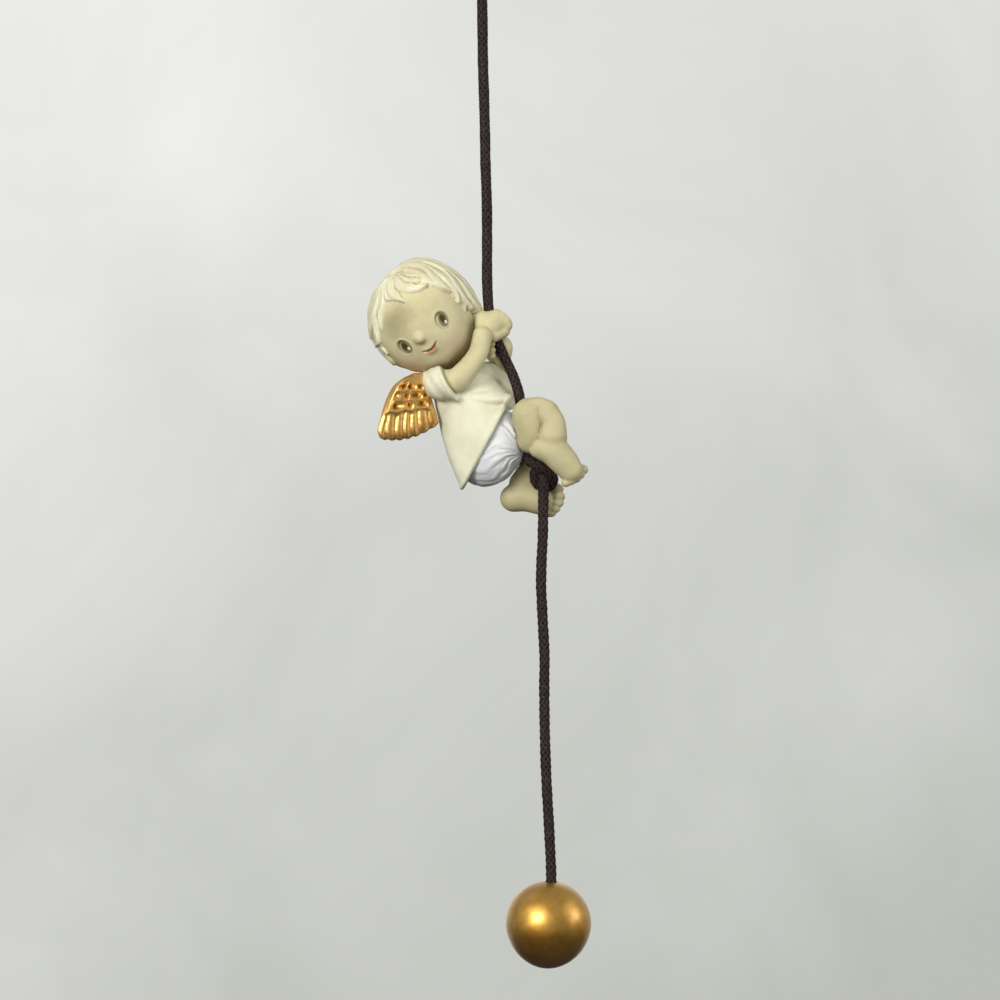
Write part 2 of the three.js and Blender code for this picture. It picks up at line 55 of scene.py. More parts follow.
camera = bpy.data.objects.new("camera", bpy.data.cameras.new("camera"))
camera.data.sensor_width = SENSOR_WIDTH
camera.data.lens = SENSOR_WIDTH * CAMERA_AWAY / PICTURE_WIDTH
camera.location = (PICTURE_MIDDLE[0], -CAMERA_AWAY, PICTURE_MIDDLE[1])
camera.rotation_euler = (np.pi / 2, 0, 0)
scene.collection.objects.link(camera)
scene.camera = camera

# Studio: a pale round paper floor well below, a large soft lamp at the upper left, weaker ones in front, at
# the right and behind, and dim light from all around. Beyond the floor all is pale and mottled like cloth.
FLOOR_Z, FLOOR_RADIUS, FLOOR_SIDES = -0.9, 1.5, 96
FLOOR_GLOW = 0.36
MOTTLE = {"Detail": 4.0, "Roughness": 0.55, "Distortion": 0.7}
CLOTH_MOTTLE, CLOTH_SLOPE = 0.28, (-0.55, 0.0, 1.0)
ROOM_BELOW, ROOM_ABOVE = (0.03, 0.03, 0.03, 1.0), (0.29, 0.296, 0.308, 1.0)
LAMPS = (
    ("key_lamp", (-0.5, -0.78, 0.14), 0.36, 6.3),
    ("front_lamp", (0.24, -0.84, 0.2), 0.5, 2.2),
    ("side_lamp", (0.84, -0.16, 0.08), 0.34, 1.8),
    ("back_lamp", (0.2, 0.95, 0.12), 0.5, 2.4),
)
MIRRORED_LAMPS = ("key_lamp", "side_lamp")
LAMP_AIM = Vector((0.0, 0.0, -0.13))


def mesh_object(name, points, faces):
    """A smooth-shaded object at the origin from row-frame points in metres."""
    mesh = bpy.data.meshes.new(name)
    mesh.from_pydata(points, [], faces)
    mesh.polygons.foreach_set("use_smooth", np.ones(len(mesh.polygons), bool))
    mesh.update()
    made = bpy.data.objects.new(name, mesh)
    scene.collection.objects.link(made)
    return made


def put(tree, made, inputs):
    """Set a node's inputs, or link those whose value is a socket."""
    for key, value in inputs.items():
        if isinstance(value, bpy.types.NodeSocket):
            tree.links.new(value, made.inputs[key])
        else:
            made.inputs[key].default_value = value


def node(tree, kind, inputs=(), **settings):
    """A shader node with its settings made and its inputs put in."""
    made = tree.nodes.new("ShaderNode" + kind)
    for key, value in settings.items():
        setattr(made, key, value)
    put(tree, made, dict(inputs))
    return made


def sum_of(tree, operation, a, b):
    """One sum on two values, each a number or a socket."""
    return node(tree, "Math", {0: a, 1: b}, operation=operation).outputs["Value"]


def ranged(tree, value, low, high, top=1.0):
    """A value as 0 at low to top at high, held outside them."""
    sizes = {"Value": value, "From Min": low, "From Max": high, "To Max": top}
    return node(tree, "MapRange", sizes).outputs["Result"]


def noise(tree, where, scale, kind):
    """Noise over a place, with the number of its cells to a metre and its other settings."""
    return node(tree, "TexNoise", {"Vector": where, "Scale": scale, **kind}).outputs["Fac"]


def mixed(tree, factor, first, second):
    """The colour between two, each a colour or a socket: the first at 0 and the second at 1."""
    return node(tree, "Mix", {0: factor, 6: first, 7: second}, data_type="RGBA").outputs[2]


def ramp(tree, factor, low, high):
    """The colour between two stops, each a place along the factor and a colour."""
    made = node(tree, "ValToRGB", {"Fac": factor})
    for stop, (place, colour) in zip(made.color_ramp.elements, (low, high)):
        stop.position = place
        stop.color = colour
    return made.outputs["Color"]


def srgb(red, green, blue):
    """An opaque linear colour from an 8-bit screen colour."""
    c = np.array([red, green, blue]) / 255
    return (*np.where(c <= 0.04045, c / 12.92, ((c + 0.055) / 1.055) ** 2.4), 1.0)


def shader(name):
    """A new material with its node tree, its surface shader and its object coordinates."""
    made = bpy.data.materials.new(name)
    made.use_nodes = True
    tree = made.node_tree
    return made, tree, tree.nodes["Principled BSDF"], node(tree, "TexCoord").outputs["Object"]


rim = np.linspace(0, 2 * np.pi, FLOOR_SIDES, endpoint=False)
rim = np.stack([FLOOR_RADIUS * np.cos(rim), FLOOR_RADIUS * np.sin(rim), np.full(FLOOR_SIDES, FLOOR_Z)], 1)
floor = mesh_object("floor", rim, [range(FLOOR_SIDES)])
paper, tree, bsdf, where = shader("floor_paper")
fibre = noise(tree, where, 9.0, MOTTLE)
tone = ramp(tree, fibre, (0.3, srgb(222, 223, 219)), (0.7, srgb(234, 235, 231)))
to_camera = node(tree, "LightPath").outputs["Is Camera Ray"]
put(tree, bsdf, {
    "Base Color": mixed(tree, to_camera, srgb(92, 92, 90), tone),
    "Emission Color": tone,
    "Emission Strength": sum_of(tree, "MULTIPLY", to_camera, FLOOR_GLOW),
    "Roughness": 0.9,
})
floor.data.materials.append(paper)

for name, place, size, power in LAMPS:
    lamp = bpy.data.objects.new(name, bpy.data.lights.new(name, "AREA"))
    lamp.data.size = size
    lamp.data.energy = power
    lamp.location = place
    lamp.rotation_euler = (LAMP_AIM - Vector(place)).to_track_quat("-Z", "Y").to_euler()
    lamp.visible_glossy = name in MIRRORED_LAMPS
    scene.collection.objects.link(lamp)

world = bpy.data.worlds.new("studio")
world.use_nodes = True
tree = world.node_tree
looked = node(tree, "TexCoord").outputs["Generated"]
mottle = sum_of(tree, "MULTIPLY", noise(tree, looked, 10.0, MOTTLE), CLOTH_MOTTLE)
slope = node(tree, "VectorMath", {0: looked, 1: CLOTH_SLOPE}, operation="DOT_PRODUCT").outputs["Value"]
height = ranged(tree, sum_of(tree, "ADD", slope, mottle), -0.02, 0.34)
cloth = mixed(tree, height, srgb(188, 190, 184), srgb(238, 239, 235))
ray = node(tree, "LightPath").outputs
way = node(tree, "SeparateXYZ", {0: looked}).outputs
mirrored = sum_of(tree, "MULTIPLY", ray["Is Glossy Ray"], ranged(tree, way["Y"], 0.55, 0.95))
shown = sum_of(tree, "MAXIMUM", mirrored, ray["Is Transmission Ray"])
shown = sum_of(tree, "MAXIMUM", shown, ray["Is Camera Ray"])
room = mixed(tree, ranged(tree, way["Z"], -0.5, 0.15), ROOM_BELOW, ROOM_ABOVE)
put(tree, tree.nodes["Background"], {"Color": mixed(tree, shown, room, cloth)})
scene.world = world

# Hanging loop: the upper end of the cord, 2 mm braided waxed cotton, doubled back and tied with its
# own standing part in an overhand knot. The cut end comes out under the knot.
CORD_RADIUS = 0.97
STRANDS, STRAND_PITCH, STRAND_RISE = 6, 1.35, 0.06
KNOT_TURNS = (
    (-0.8, -0.4, 1.25), (-0.42, -0.6, 0.78), (0.15, 0, 0.6), (0.62, 0.62, 0.18), (1.15, 0.45, -0.65),
    (0.75, -0.35, -1.2), (-0.1, -0.64, -1.05), (-0.98, -0.3, -0.6), (-1.22, 0.4, 0.12), (-0.55, 0.68, 0.85),
    (0.48, 0.45, 1.3), (1.15, -0.35, 0.75), (0.62, -0.66, -0.05), (0.12, 0, -0.52), (-0.05, 0.58, -1),
    (0.12, 0.3, -1.55),
)
KNOT_ABOVE, KNOT_BELOW = ((0, 0, 2.3), (0, 0, 2.0)), ((0, 0, -2.0), (0, 0, -2.3))
LOOP_KNOT_Z, LOOP_KNOT_SPACING, PAIR_APART = -28.672, 3.5, 0.88
LOOP_RIGHT = ((1.15, 0, -20), (1.45, 0, -17), (3.78, 0, -11), (4.14, 0, -6.4), (2.7, 0, -2.4))
LOOP_TOP = ((0, 0, -1),)
UPPER_LINE = (
    (0.05, 0, -39.5), (0.1, 0, -43.0), (0.15, 0, -48.0), (0.25, 0, -52.0), (0.4, 0, -56.5), (0.6, 0, -64.8),
    (0.62, 0, -67.5), (0.9, 0, -76), (0.95, 0, -84), (0.95, 0, -90), (1.15, 0, -94.5), (1.5, 0, -97.6),
)
MIDDLE_LINE = (
    (2.2, 0, -100.3), (3.1, 0, -102.4), (4.2, 0, -104.9), (5.9, 0, -108.5), (7.0, 0.1, -112.1),
    (7.5, 0.3, -116.1), (7.4, 0.2, -119.5), (7.7, -0.3, -121.9), (8.6, -1.2, -124.0), (10.4, -1.9, -125.2),
    (12.4, -1.6, -126.3), (13.3, -0.2, -127.8), (12.6, 1.3, -129.1), (11.2, 1.8, -129.2), (10.2, 1.3, -128.1),
    (10.1, 0.8, -126.6), (10.9, 0.35, -125.7), (11.6, 0.1, -126.5), (11.6, -0.5, -128.2),
    (11.55, -0.4, -130.2), (11.52, 0, -133.4), (11.4, 0, -139.1), (11.2, 0, -143.0),
)
LOWER_LINE = (
    (11.1, 0, -147.5), (11.2, 0, -150.0), (11.4, 0, -154.1), (11.75, 0, -161.1), (11.7, 0, -166.5),
    (11.8, 0, -175.1), (12.1, 0, -184.1), (12.7, 0, -195.1), (13.0, 0, -203.4), (12.5, 0, -211.0),
)
LOOP_FOOT, FIST, TAIL = (0.25, 0, -52.0), (1.85, 0, -99.0), (11.2, 0, -150.0)
STOP_KNOT, STOP_KNOT_SWELL = (11.1, 0, -127.0), 0.17


def smooth_line(points, each=12):
    """A curve through the points: cubic pieces whose slopes are half the step between neighbours."""
    p = np.asarray(points, float)
    p = np.concatenate([[2 * p[0] - p[1]], p, [2 * p[-1] - p[-2]]])
    t = np.linspace(0, 1, each, endpoint=False)[None, :, None]
    a, b, c, d = (p[i:len(p) - 3 + i, None] for i in range(4))
    curve = b + t * (c - a) / 2 + t**2 * (a - 2.5 * b + 2 * c - d / 2) + t**3 * (1.5 * (b - c) + (d - a) / 2)
    return np.concatenate([curve.reshape(-1, p.shape[1]), p[-2:-1]])


def even_line(points, step):
    """The smooth curve through the points, cut into equal steps, and its length."""
    line = smooth_line(points, 40)
    along = np.concatenate([[0], np.cumsum(np.linalg.norm(np.diff(line, axis=0), axis=1))])
    even = np.linspace(0, along[-1], int(along[-1] / step) + 1)
    return np.stack([np.interp(even, along, axis) for axis in line.T], 1), along[-1]


def side_directions(line):
    """Unit vectors across a line, each the one before it with the new tangent's share taken out."""
    tangent = np.gradient(line, axis=0)
    tangent /= np.linalg.norm(tangent, axis=1)[:, None]
    side = np.empty_like(line)
    carried = np.cross(tangent[0], (0.0, 1.0, 0.02))
    for i, t in enumerate(tangent):
        carried = carried - t * (carried @ t)
        side[i] = carried = carried / np.linalg.norm(carried)
    return side, np.cross(tangent, side)


def grid_faces(rows, columns):
    """Quads between neighbouring rings, each ring closed on itself."""
    i, j = np.meshgrid(np.arange(rows - 1), np.arange(columns), indexing="ij")
    k = (j + 1) % columns
    here, after = i * columns, (i + 1) * columns
    return np.stack([here + j, here + k, after + k, after + j], -1).reshape(-1, 4)


def closed_rings(name, rings):
    """An object from rings of points in mm, shape (rows, columns, 3), with a fan over each end ring."""
    rows, columns, _ = rings.shape
    points = np.concatenate([rings.reshape(-1, 3), [rings[0].mean(0), rings[-1].mean(0)]])
    first, last = rows * columns, rows * columns + 1
    j = np.arange(columns)
    k, base = (j + 1) % columns, (rows - 1) * columns
    caps = np.concatenate([
        np.stack([np.full(columns, first), k, j], 1),
        np.stack([np.full(columns, last), base + j, base + k], 1),
    ])
    return mesh_object(name, points * 0.001, [*grid_faces(rows, columns).tolist(), *caps.tolist()])


def attribute(obj, name, values, ends=()):
    """One number for each point of a mesh, for its material to read: its grid's, then its two end points'."""
    made = obj.data.attributes.new(name, "FLOAT", "POINT")
    made.data.foreach_set("value", np.concatenate([np.ravel(values), ends]).astype(np.float32))


def stored(tree, name):
    """The number that a mesh holds for each point under a name."""
    return node(tree, "Attribute", attribute_name=name).outputs["Fac"]


def bumped(tree, height, strength):
    """The surface roughened by a height of up to a tenth of a millimetre."""
    return node(tree, "Bump", {"Strength": strength, "Distance": 0.0001, "Height": height}).outputs["Normal"]


def braided(points, knot):
    """Rings of a braided cord along the points, in mm, with its line. Two families of strands wind round it
    in opposite ways, with phases n a + 2 pi s / p and n a - 2 pi s / p, and take turns on top. The cord
    swells by a sixth at the knot."""
    line, length = even_line(points, STRAND_PITCH / 12)
    side, other = side_directions(line)
    angle = np.linspace(0, 2 * np.pi, 6 * STRANDS, endpoint=False)[None]
    s = np.linspace(0, length, len(line))[:, None]
    wound = 2 * np.pi * s / STRAND_PITCH
    right, left = STRANDS * angle + wound, STRANDS * angle - wound
    over = np.cos(right / 2) * np.cos(left / 2)
    lift = np.maximum(np.cos(right) + 0.7 * over, np.cos(left) - 0.7 * over)
    uneven = 0.02 * np.sin(s * 0.9 + 1.3 * np.sin(s * 0.37)) + 0.012 * np.sin(s * 2.3)
    swell = STOP_KNOT_SWELL * np.exp(-((line - knot) ** 2).sum(1) / 8)[:, None]
    r = CORD_RADIUS * (1 + uneven + swell) + STRAND_RISE * (lift - 0.8)
    outward = np.cos(angle)[..., None] * side[:, None] + np.sin(angle)[..., None] * other[:, None]
    return line[:, None] + r[..., None] * outward, line, lift


def cord_piece(name, first, last):
    """The braided cord between the rings nearest to two places, with its path and length in metres."""
    start, end = (int(np.argmin(((cord_line - place) ** 2).sum(1))) for place in (first, last))
    made = closed_rings(name, cord_rings[start:end + 1])
    attribute(made, "lift", cord_lift[start:end + 1], (0, 0))
    made.data.materials.append(cord_wax)
    path = cord_line[start:end + 1] * 0.001
    return made, path, np.linalg.norm(np.diff(path, axis=0), axis=1).sum()


cord_wax, tree, bsdf, where = shader("waxed_cotton")
# Painted shade: the grooves between strands go near black. Painted glints: pale specks at random over the
# braid.
depth = mixed(tree, ranged(tree, stored(tree, "lift"), -0.6, 1.5), srgb(10, 6, 5), srgb(58, 43, 38))
specks = noise(tree, where, 2600.0, {"Detail": 4.0, "Roughness": 0.7})
put(tree, bsdf, {
    "Base Color": mixed(tree, ranged(tree, specks, 0.54, 0.8), depth, srgb(112, 96, 88)),
    "Normal": bumped(tree, specks, 0.5),
    "Roughness": 0.7,
    "Specular IOR Level": 0.25,
})

upper_knot = np.concatenate([KNOT_ABOVE, KNOT_TURNS, KNOT_BELOW]) * LOOP_KNOT_SPACING + (0, 0, LOOP_KNOT_Z)
tied, _ = even_line(upper_knot, 1.4)
beside, _ = side_directions(tied)
beside *= PAIR_APART
right_half = np.array(LOOP_RIGHT)
ease = np.clip(np.arange(len(tied))[::-1, None] / 6, 0, 1)
cord_rings, cord_line, cord_lift = braided(np.concatenate([
    (tied - 1.15 * beside)[-4::-1], right_half * (-1, 1, 1), LOOP_TOP, right_half[::-1], tied + ease * beside,
    UPPER_LINE, MIDDLE_LINE, LOWER_LINE,
]), STOP_KNOT)
loop_cord, loop_path, loop_length = cord_piece("loop_cord", cord_line[0], LOOP_FOOT)
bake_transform(loop_cord)
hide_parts("hang_loop", "loop_knot")

# Upper cord: the same braided cord, pulled taut from under the loop's knot down into the cherub's upper
# fist, where it runs through a channel in the casting.
upper_cord, upper_path, upper_length = cord_piece("upper_cord", LOOP_FOOT, FIST)
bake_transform(upper_cord)
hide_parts("cord_upper_a", "cord_upper_b")

# Gown: the cherub's short baby gown with its two sleeves, part of one hollow resin casting, painted
# matt cream. Its flared hem is open and shows a thin edge against the nappy.
GRIP = np.array([1.9, 0, -99.044])
GOWN_FAN = (11.9, 3.3)
GOWN_TURN = (-153.4, -145.9, -136.4, -129.4, -122.5, -117.6)
GOWN_MIDDLE = (24.8, 23.5, 24.0, 25.3, 27.1, 28.5)
GOWN_WIDE = (2.9, 4.2, 6.3, 7.6, 8.8, 9.7)
GOWN_DEEP = (2.8, 4.7, 5.7, 6.2, 6.8, 7.3)
HEM_POINT, HEM_NORMAL, HEM_UP = np.float32([(-0.8, 0, -22.0), (0.886, 0, -0.464), (0.464, 0, 0.886)])
HEM_WALL, HEM_ROLL, HEM_HOLLOW = 0.8, 0.26, 6
ARMPIT = (-6.5, -12.5)
HEM_FOLD, PULL_FOLD, FINE_FOLD, TUCK = 0.14, 0.38, 0.34, 0.1
RIGHT_SLEEVE = ((-10.4, -2.0, -10.4, 3.2), (-9.5, -4.8, -10.7, 3.3), (-7.6, -6.4, -10.8, 3.15))
RIGHT_CUFF, RIGHT_CUFF_OUT = np.float32([(-7.9, -6.4, -10.8), (0.85, -0.2, 0.48)])
LEFT_BREAST = ((-6.0, 1.2, -10.2, 3.0), (-1.9, 2.2, -9.3, 2.7), (0.2, 3.2, -9.3, 2.4))
LEFT_SLEEVE = (
    (-8.6, 3.4, -11.4, 3.1), (-3.0, 4.8, -13.0, 3.1), (2.0, 4.8, -13.5, 2.7), (1.4, 4.3, -10.6, 2.5),
    (0.7, 3.7, -8.2, 2.3),
)
GOWN_VOXEL, LIMB_VOXEL, NECK_VOXEL = 0.16, 0.15, 0.2


def melt(a, b, fillet):
    """Two distance fields as one, with a fillet where they meet: the lesser, less a cubic dip."""
    h = np.maximum(fillet - np.abs(a - b), 0) / fillet
    return np.minimum(a, b) - h**3 * fillet / 6


def limb(p, rings, each=4):
    """Distance to a round tapering limb through rings (x, y, z, radius): the least over its short cones."""
    line = smooth_line(rings, each).astype(np.float32)
    field = np.full(p.shape[:-1], 1e3, np.float32)
    for a, b in zip(line[:-1], line[1:]):
        axis = (b - a)[:3]
        t = np.clip((p - a[:3]) @ axis / (axis @ axis), 0, 1)
        gap = p - a[:3] - t[..., None] * axis
        field = np.minimum(field, np.sqrt((gap * gap).sum(-1)) - a[3] - t * (b - a)[3])
    return field


def blob(p, centre, radii, axes=np.eye(3)):
    """Distance to an ellipsoid, to first order: k (k - 1) over the length of its gradient."""
    q = (p - np.float32(centre)) @ np.float32(axes).T
    radii = np.float32(radii)
    k = np.sqrt(((q / radii) ** 2).sum(-1))
    return k * (k - 1) / np.maximum(np.sqrt(((q / radii**2) ** 2).sum(-1)), 1e-4)


def fan_body(p):
    """Distance to the gown's body: oval sections on planes that turn about one line, from neck to hem."""
    x, z = p[..., 0] - GOWN_FAN[0], p[..., 2] - GOWN_FAN[1]
    turned, out = np.degrees(np.arctan2(z, x)), np.hypot(x, z)
    turned = np.where(turned > 0, turned - 360, turned)
    sections = (GOWN_MIDDLE, GOWN_WIDE, GOWN_DEEP)
    middle, wide, deep = (np.interp(turned, GOWN_TURN, sizes) for sizes in sections)
    oval = np.sqrt(((out - middle) / wide) ** 2 + (p[..., 1] / deep) ** 2)
    return np.maximum((oval - 1) * np.minimum(wide, deep), (GOWN_TURN[0] - turned) * out * np.pi / 180)


def cast(name, field, lowest, highest, voxel, beside=None):
    """The closed skin where field(p) is nought, p in mm from the grip. The field is worked out in blocks of
    voxels, finely only near the skin. Each point also gets how deep in a crease it lies: how far the field,
    or that of the piece beside it, falls short of the distance that was gone outward."""
    side = 4
    blocks = np.ceil((np.asarray(highest) - lowest) / (side * voxel)).astype(int)
    corner = np.stack(np.meshgrid(*(np.arange(n) for n in blocks), indexing="ij"), -1) * side * voxel + lowest
    inner = np.stack(np.meshgrid(*[np.arange(side) * voxel] * 3, indexing="ij"), -1)
    coarse = field((corner + (side - 1) / 2 * voxel).astype(np.float32))
    values = np.repeat(np.clip(coarse, -1, 1).reshape(*blocks, 1), side**3, -1)
    values = values.reshape(*blocks, side, side, side).astype(np.float32)
    near = np.abs(coarse) < 2 * side * voxel
    values[near] = field((corner[near][:, None, None, None] + inner).astype(np.float32))
    grid = openvdb.FloatGrid(1.0)
    grid.copyFromArray(np.ascontiguousarray(values.transpose(0, 3, 1, 4, 2, 5).reshape(blocks * side)))
    points, quads = grid.convertToQuads(0.0)
    points = np.asarray(lowest) + points * voxel
    made = mesh_object(name, (GRIP + points) * 0.001, quads)
    normal = np.zeros(3 * len(points), np.float32)
    made.data.vertex_normals.foreach_get("vector", normal)
    normal = normal.reshape(-1, 3)
    # How shut in each point is, by this piece and by the piece beside it: the paint is darkened by it as
    # painted shade in creases and where pieces meet.
    shut = 0
    for far in (0.5, 1.1, 2.0):
        reached = (points + normal * far).astype(np.float32)
        room = field(reached) if beside is None else np.minimum(field(reached), beside(reached))
        shut = shut + np.clip(1 - room / far, 0, 1) / 3
    attribute(made, "crease", shut)
    return made


def paint(name, pale, dark, crease_shade, roughness, unevenness=0.25):
    """Matt brushed paint and its colour: pale, clouded with dark over about 5 mm, with a darker colour
    painted into the creases as their shade, and fine brush unevenness."""
    made, tree, bsdf, where = shader(name)
    cloud = ranged(tree, noise(tree, where, 190.0, {"Detail": 4.0, "Roughness": 0.6}), 0.38, 0.68)
    grain = noise(tree, where, 1500.0, {"Detail": 3.0})
    depth = sum_of(tree, "ADD", stored(tree, "crease"), sum_of(tree, "MULTIPLY", grain, 0.25))
    # Painted shade: the colour darkens towards crease_shade as the crease value grows.
    shaded_colour = mixed(tree, ranged(tree, depth, 0.4, 1.05, 0.7), mixed(tree, cloud, pale, dark), crease_shade)
    put(tree, bsdf, {
        "Base Color": shaded_colour,
        "Normal": bumped(tree, grain, unevenness),
        "Roughness": roughness,
        "Specular IOR Level": 0.4,
    })
    return made, shaded_colour


def gown_field(p):
    """Distance to the gown. Its body has waves round the hem that grow with the flare, waves that fan out
    from the armpit and a roll at the hem. It is hollowed inside its wall and cut by the hem's plane. The
    sleeves, with sloping tucks, are melted on, and the near one is cut by its cuff's plane."""
    from_hem, height = (p - HEM_POINT) @ HEM_NORMAL, (p - HEM_POINT) @ HEM_UP
    flare = np.clip(1 + from_hem / 12, 0, 1)
    round_it = np.arctan2(p[..., 1], height)
    folds = HEM_FOLD * flare**1.6 * np.cos(7 * round_it + 0.3 * from_hem + 0.9 * np.sin(2 * round_it))
    x, z = p[..., 0] - ARMPIT[0], p[..., 2] - ARMPIT[1]
    away, turned = np.hypot(x, z), np.arctan2(-z, x)
    pulled = np.clip((away - 2) / 5, 0, 1) * np.clip(-p[..., 1] / 3, 0, 1)
    folds = folds + PULL_FOLD * pulled * np.cos(7.5 * turned + 0.5 * np.sin(0.5 * away))
    middle = np.exp(-(((turned - 0.25) / 0.4) ** 2))
    folds = folds + FINE_FOLD * pulled * np.sin(15 * turned + 0.7 * away) * middle
    body = fan_body(p) - folds - HEM_ROLL * np.exp(-(((from_hem + 0.55) / 0.45) ** 2))
    inside = np.maximum(body + HEM_WALL, -(from_hem + HEM_HOLLOW))
    body = -melt(-np.maximum(body, -inside), -from_hem, 0.45)
    tucks = TUCK * np.sin(2.1 * p[..., 0] + 1.7 * p[..., 2] - 0.8 * p[..., 1])
    cuff = (p - RIGHT_CUFF) @ RIGHT_CUFF_OUT
    right = limb(p, RIGHT_SLEEVE) + tucks - 0.25 * np.exp(-(((cuff + 0.45) / 0.4) ** 2))
    right = -melt(-right, -cuff, 0.5)
    left = melt(limb(p, LEFT_SLEEVE), limb(p, LEFT_BREAST), 1.0) + 1.6 * tucks
    return melt(melt(body, right, 1.6), left, 1.2)


gown = cast("gown_casting", gown_field, (-17, -10.5, -32), (8, 9.5, -6.5), GOWN_VOXEL)
gown_paint, _ = paint("cream_paint", srgb(241, 238, 208), srgb(228, 224, 191), srgb(146, 134, 95), 0.72)
gown.data.materials.append(gown_paint)
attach(gown, "climber")
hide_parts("gown")

# Nappy: a round gathered cloth seat under the gown's hem, cast in one with the figure and painted matt
# white. Its creases run together at the crotch.
NAPPY_CENTRE, NAPPY_RADII = (-0.5, 0, -22.7), (6.6, 6.6, 7.7)
NAPPY_AXES = (HEM_NORMAL, (0, 1, 0), HEM_UP)
NAPPY_PINCH = (5.8, -23.8)
WIDE_CREASE, NARROW_CREASE, FINE_CREASE = 0.17, 0.12, 0.07


def nappy_field(p):
    """Distance to the nappy: an ellipsoid with creases that fan out from the pinch. Each is a narrow groove,
    the square of 1 - |sin| of a wavering angle, and all fade away from the pinch."""
    x, z = p[..., 0] - NAPPY_PINCH[0], p[..., 2] - NAPPY_PINCH[1]
    away, turned = np.hypot(x, z), np.arctan2(z, -x)
    wave = turned + 0.13 * np.sin(0.55 * away + 0.5 * p[..., 1]) + 0.03 * np.sin(1.3 * away - 0.7 * z)
    creases = WIDE_CREASE * (1 - np.abs(np.sin(6 * wave))) ** 2
    creases = creases + NARROW_CREASE * (1 - np.abs(np.sin(11 * wave + 1.3))) ** 2
    creases = creases + FINE_CREASE * np.sin(25 * wave + 0.8 * np.sin(2 * away))
    fade = np.clip((11 - away) / 6, 0.5, 1) * np.clip(away / 1.5, 0.2, 1)
    return blob(p, NAPPY_CENTRE, NAPPY_RADII, NAPPY_AXES) + fade * creases


nappy = cast("nappy_casting", nappy_field, (-9, -8, -33), (9, 8, -13), GOWN_VOXEL, gown_field)
nappy_paint, _ = paint("white_paint", srgb(247, 248, 246), srgb(232, 233, 232), srgb(160, 160, 158), 0.7)
nappy.data.materials.append(nappy_paint)
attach(nappy, "climber")
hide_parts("nappy")

# Head: a round cherub doll's head on a short neck, cast with the figure and painted flesh, with
# painted eyes, cheeks and lips. It leans back and looks up at the viewer.
HEAD_CENTRE = np.array([-13.35, -1.0, 1.35])
HEAD_UP = np.array([-0.602, 0, 0.799])
HEAD_FRONT = np.array([-0.220, -0.961, -0.166])
HEAD_LEFT = np.array([0.768, -0.276, 0.579])
HEAD_RADIUS = 9.75
CHEEK_HILLS = ((0.45, -38, -38, 16), (0.45, 38, -40, 16), (0.4, 2, -58, 12))
BROW_HILLS = ((-0.35, -22, -11, 10), (-0.35, 33, -12, 10), (-0.2, 2, -47, 6), (0.15, 0, 22, 20))
TEMPLE_HILLS = ((-0.6, -76, -14, 14), (-0.6, 80, -14, 14))
JAW_HILLS = ((1.15, 32, -70, 20), (0.6, 104, -52, 15), (1.3, 106, -76, 13))
HEAD_HILLS = CHEEK_HILLS + BROW_HILLS + TEMPLE_HILLS + JAW_HILLS
ON_FACE, OFF_FACE = 0.3, 9.0
EYES = ((-22.3, -17.0, 6), (34.4, -17.4, -6))
EYE_HALF_WIDTH, EYE_HALF_HEIGHT = 1.22, 1.5
NOSE = (0.4, -18.3)
MOUTH = (2.6, -35.0)
CHEEKS = ((-37.0, -39.0), (34.0, -45.0))
EAR = (-66.0, -17.0)
FLESH = (srgb(221, 212, 166), srgb(207, 196, 149))
BLUSH, GAP_SHADE = srgb(206, 152, 136), srgb(88, 70, 32)
LIP, LIP_LINE = (196, 130, 100), (96, 58, 36)
EYE_RIM, EYE_WHITE = (88, 76, 40), (192, 184, 144)
IRIS, PUPIL, SPARK = (142, 130, 78), (64, 55, 26), (244, 242, 230)
FACE_COATS = (
    ("mouth_x", "smile", (0.05, -0.3), (1.2, 0.29), 0.4, LIP),
    ("mouth_x", "smile", (0.0, 0.02), (1.6, 0.14), 0.6, LIP_LINE),
    ("eye_x", "eye_y", (0.0, 0.0), (1.02, 1.02), 0.14, EYE_RIM),
    ("eye_x", "eye_y", (-0.05, -0.13), (0.97, 0.95), 0.12, EYE_WHITE),
    ("eye_x", "eye_y", (0.18, -0.06), (0.74, 0.92), 0.12, IRIS),
    ("eye_x", "eye_y", (0.2, 0.14), (0.5, 0.58), 0.45, PUPIL),
    ("eye_x", "eye_y", (0.42, -0.42), (0.21, 0.22), 0.3, SPARK),
)
RIGHT_ARM = (
    (-8.9, -5.0, -10.4, 2.2), (-6.8, -6.4, -10.4, 2.3), (-4.5, -6.2, -8.1, 2.05), (-2.6, -5.0, -5.2, 1.85),
    (-1.9, -3.4, -2.0, 1.9),
)
NECK = ((-12.0, 0, -2.5, 3.6), (-10.8, 0, -7.0, 3.0), (-9.6, 0, -11.0, 2.6))


def toward(azimuth, elevation):
    """The unit direction at an angle round the head from its front to its left, and one up."""
    a, e = np.radians(azimuth), np.radians(elevation)
    return np.cos(e) * (np.cos(a) * HEAD_FRONT + np.sin(a) * HEAD_LEFT) + np.sin(e) * HEAD_UP


def around(axis, rows, columns, crowd):
    """Unit directions in rings round an axis, crowded towards it."""
    polar = (np.pi * np.linspace(0.008, 0.992, rows) ** crowd)[:, None, None]
    angle = np.linspace(0, 2 * np.pi, columns, endpoint=False)[None, :, None]
    one = np.cross(axis, (0.3, 0.2, 0.93))
    one = one / np.linalg.norm(one)
    return np.cos(polar) * axis + np.sin(polar) * (np.cos(angle) * one + np.sin(angle) * np.cross(axis, one))


def hill(directions, azimuth, elevation, width):
    """A bell over directions: 1 at the middle and about 0.6 at width degrees away from it."""
    off = np.degrees(np.arccos(np.clip(directions @ toward(azimuth, elevation), -1, 1)))
    return np.exp(-((off / width) ** 2) / 2)


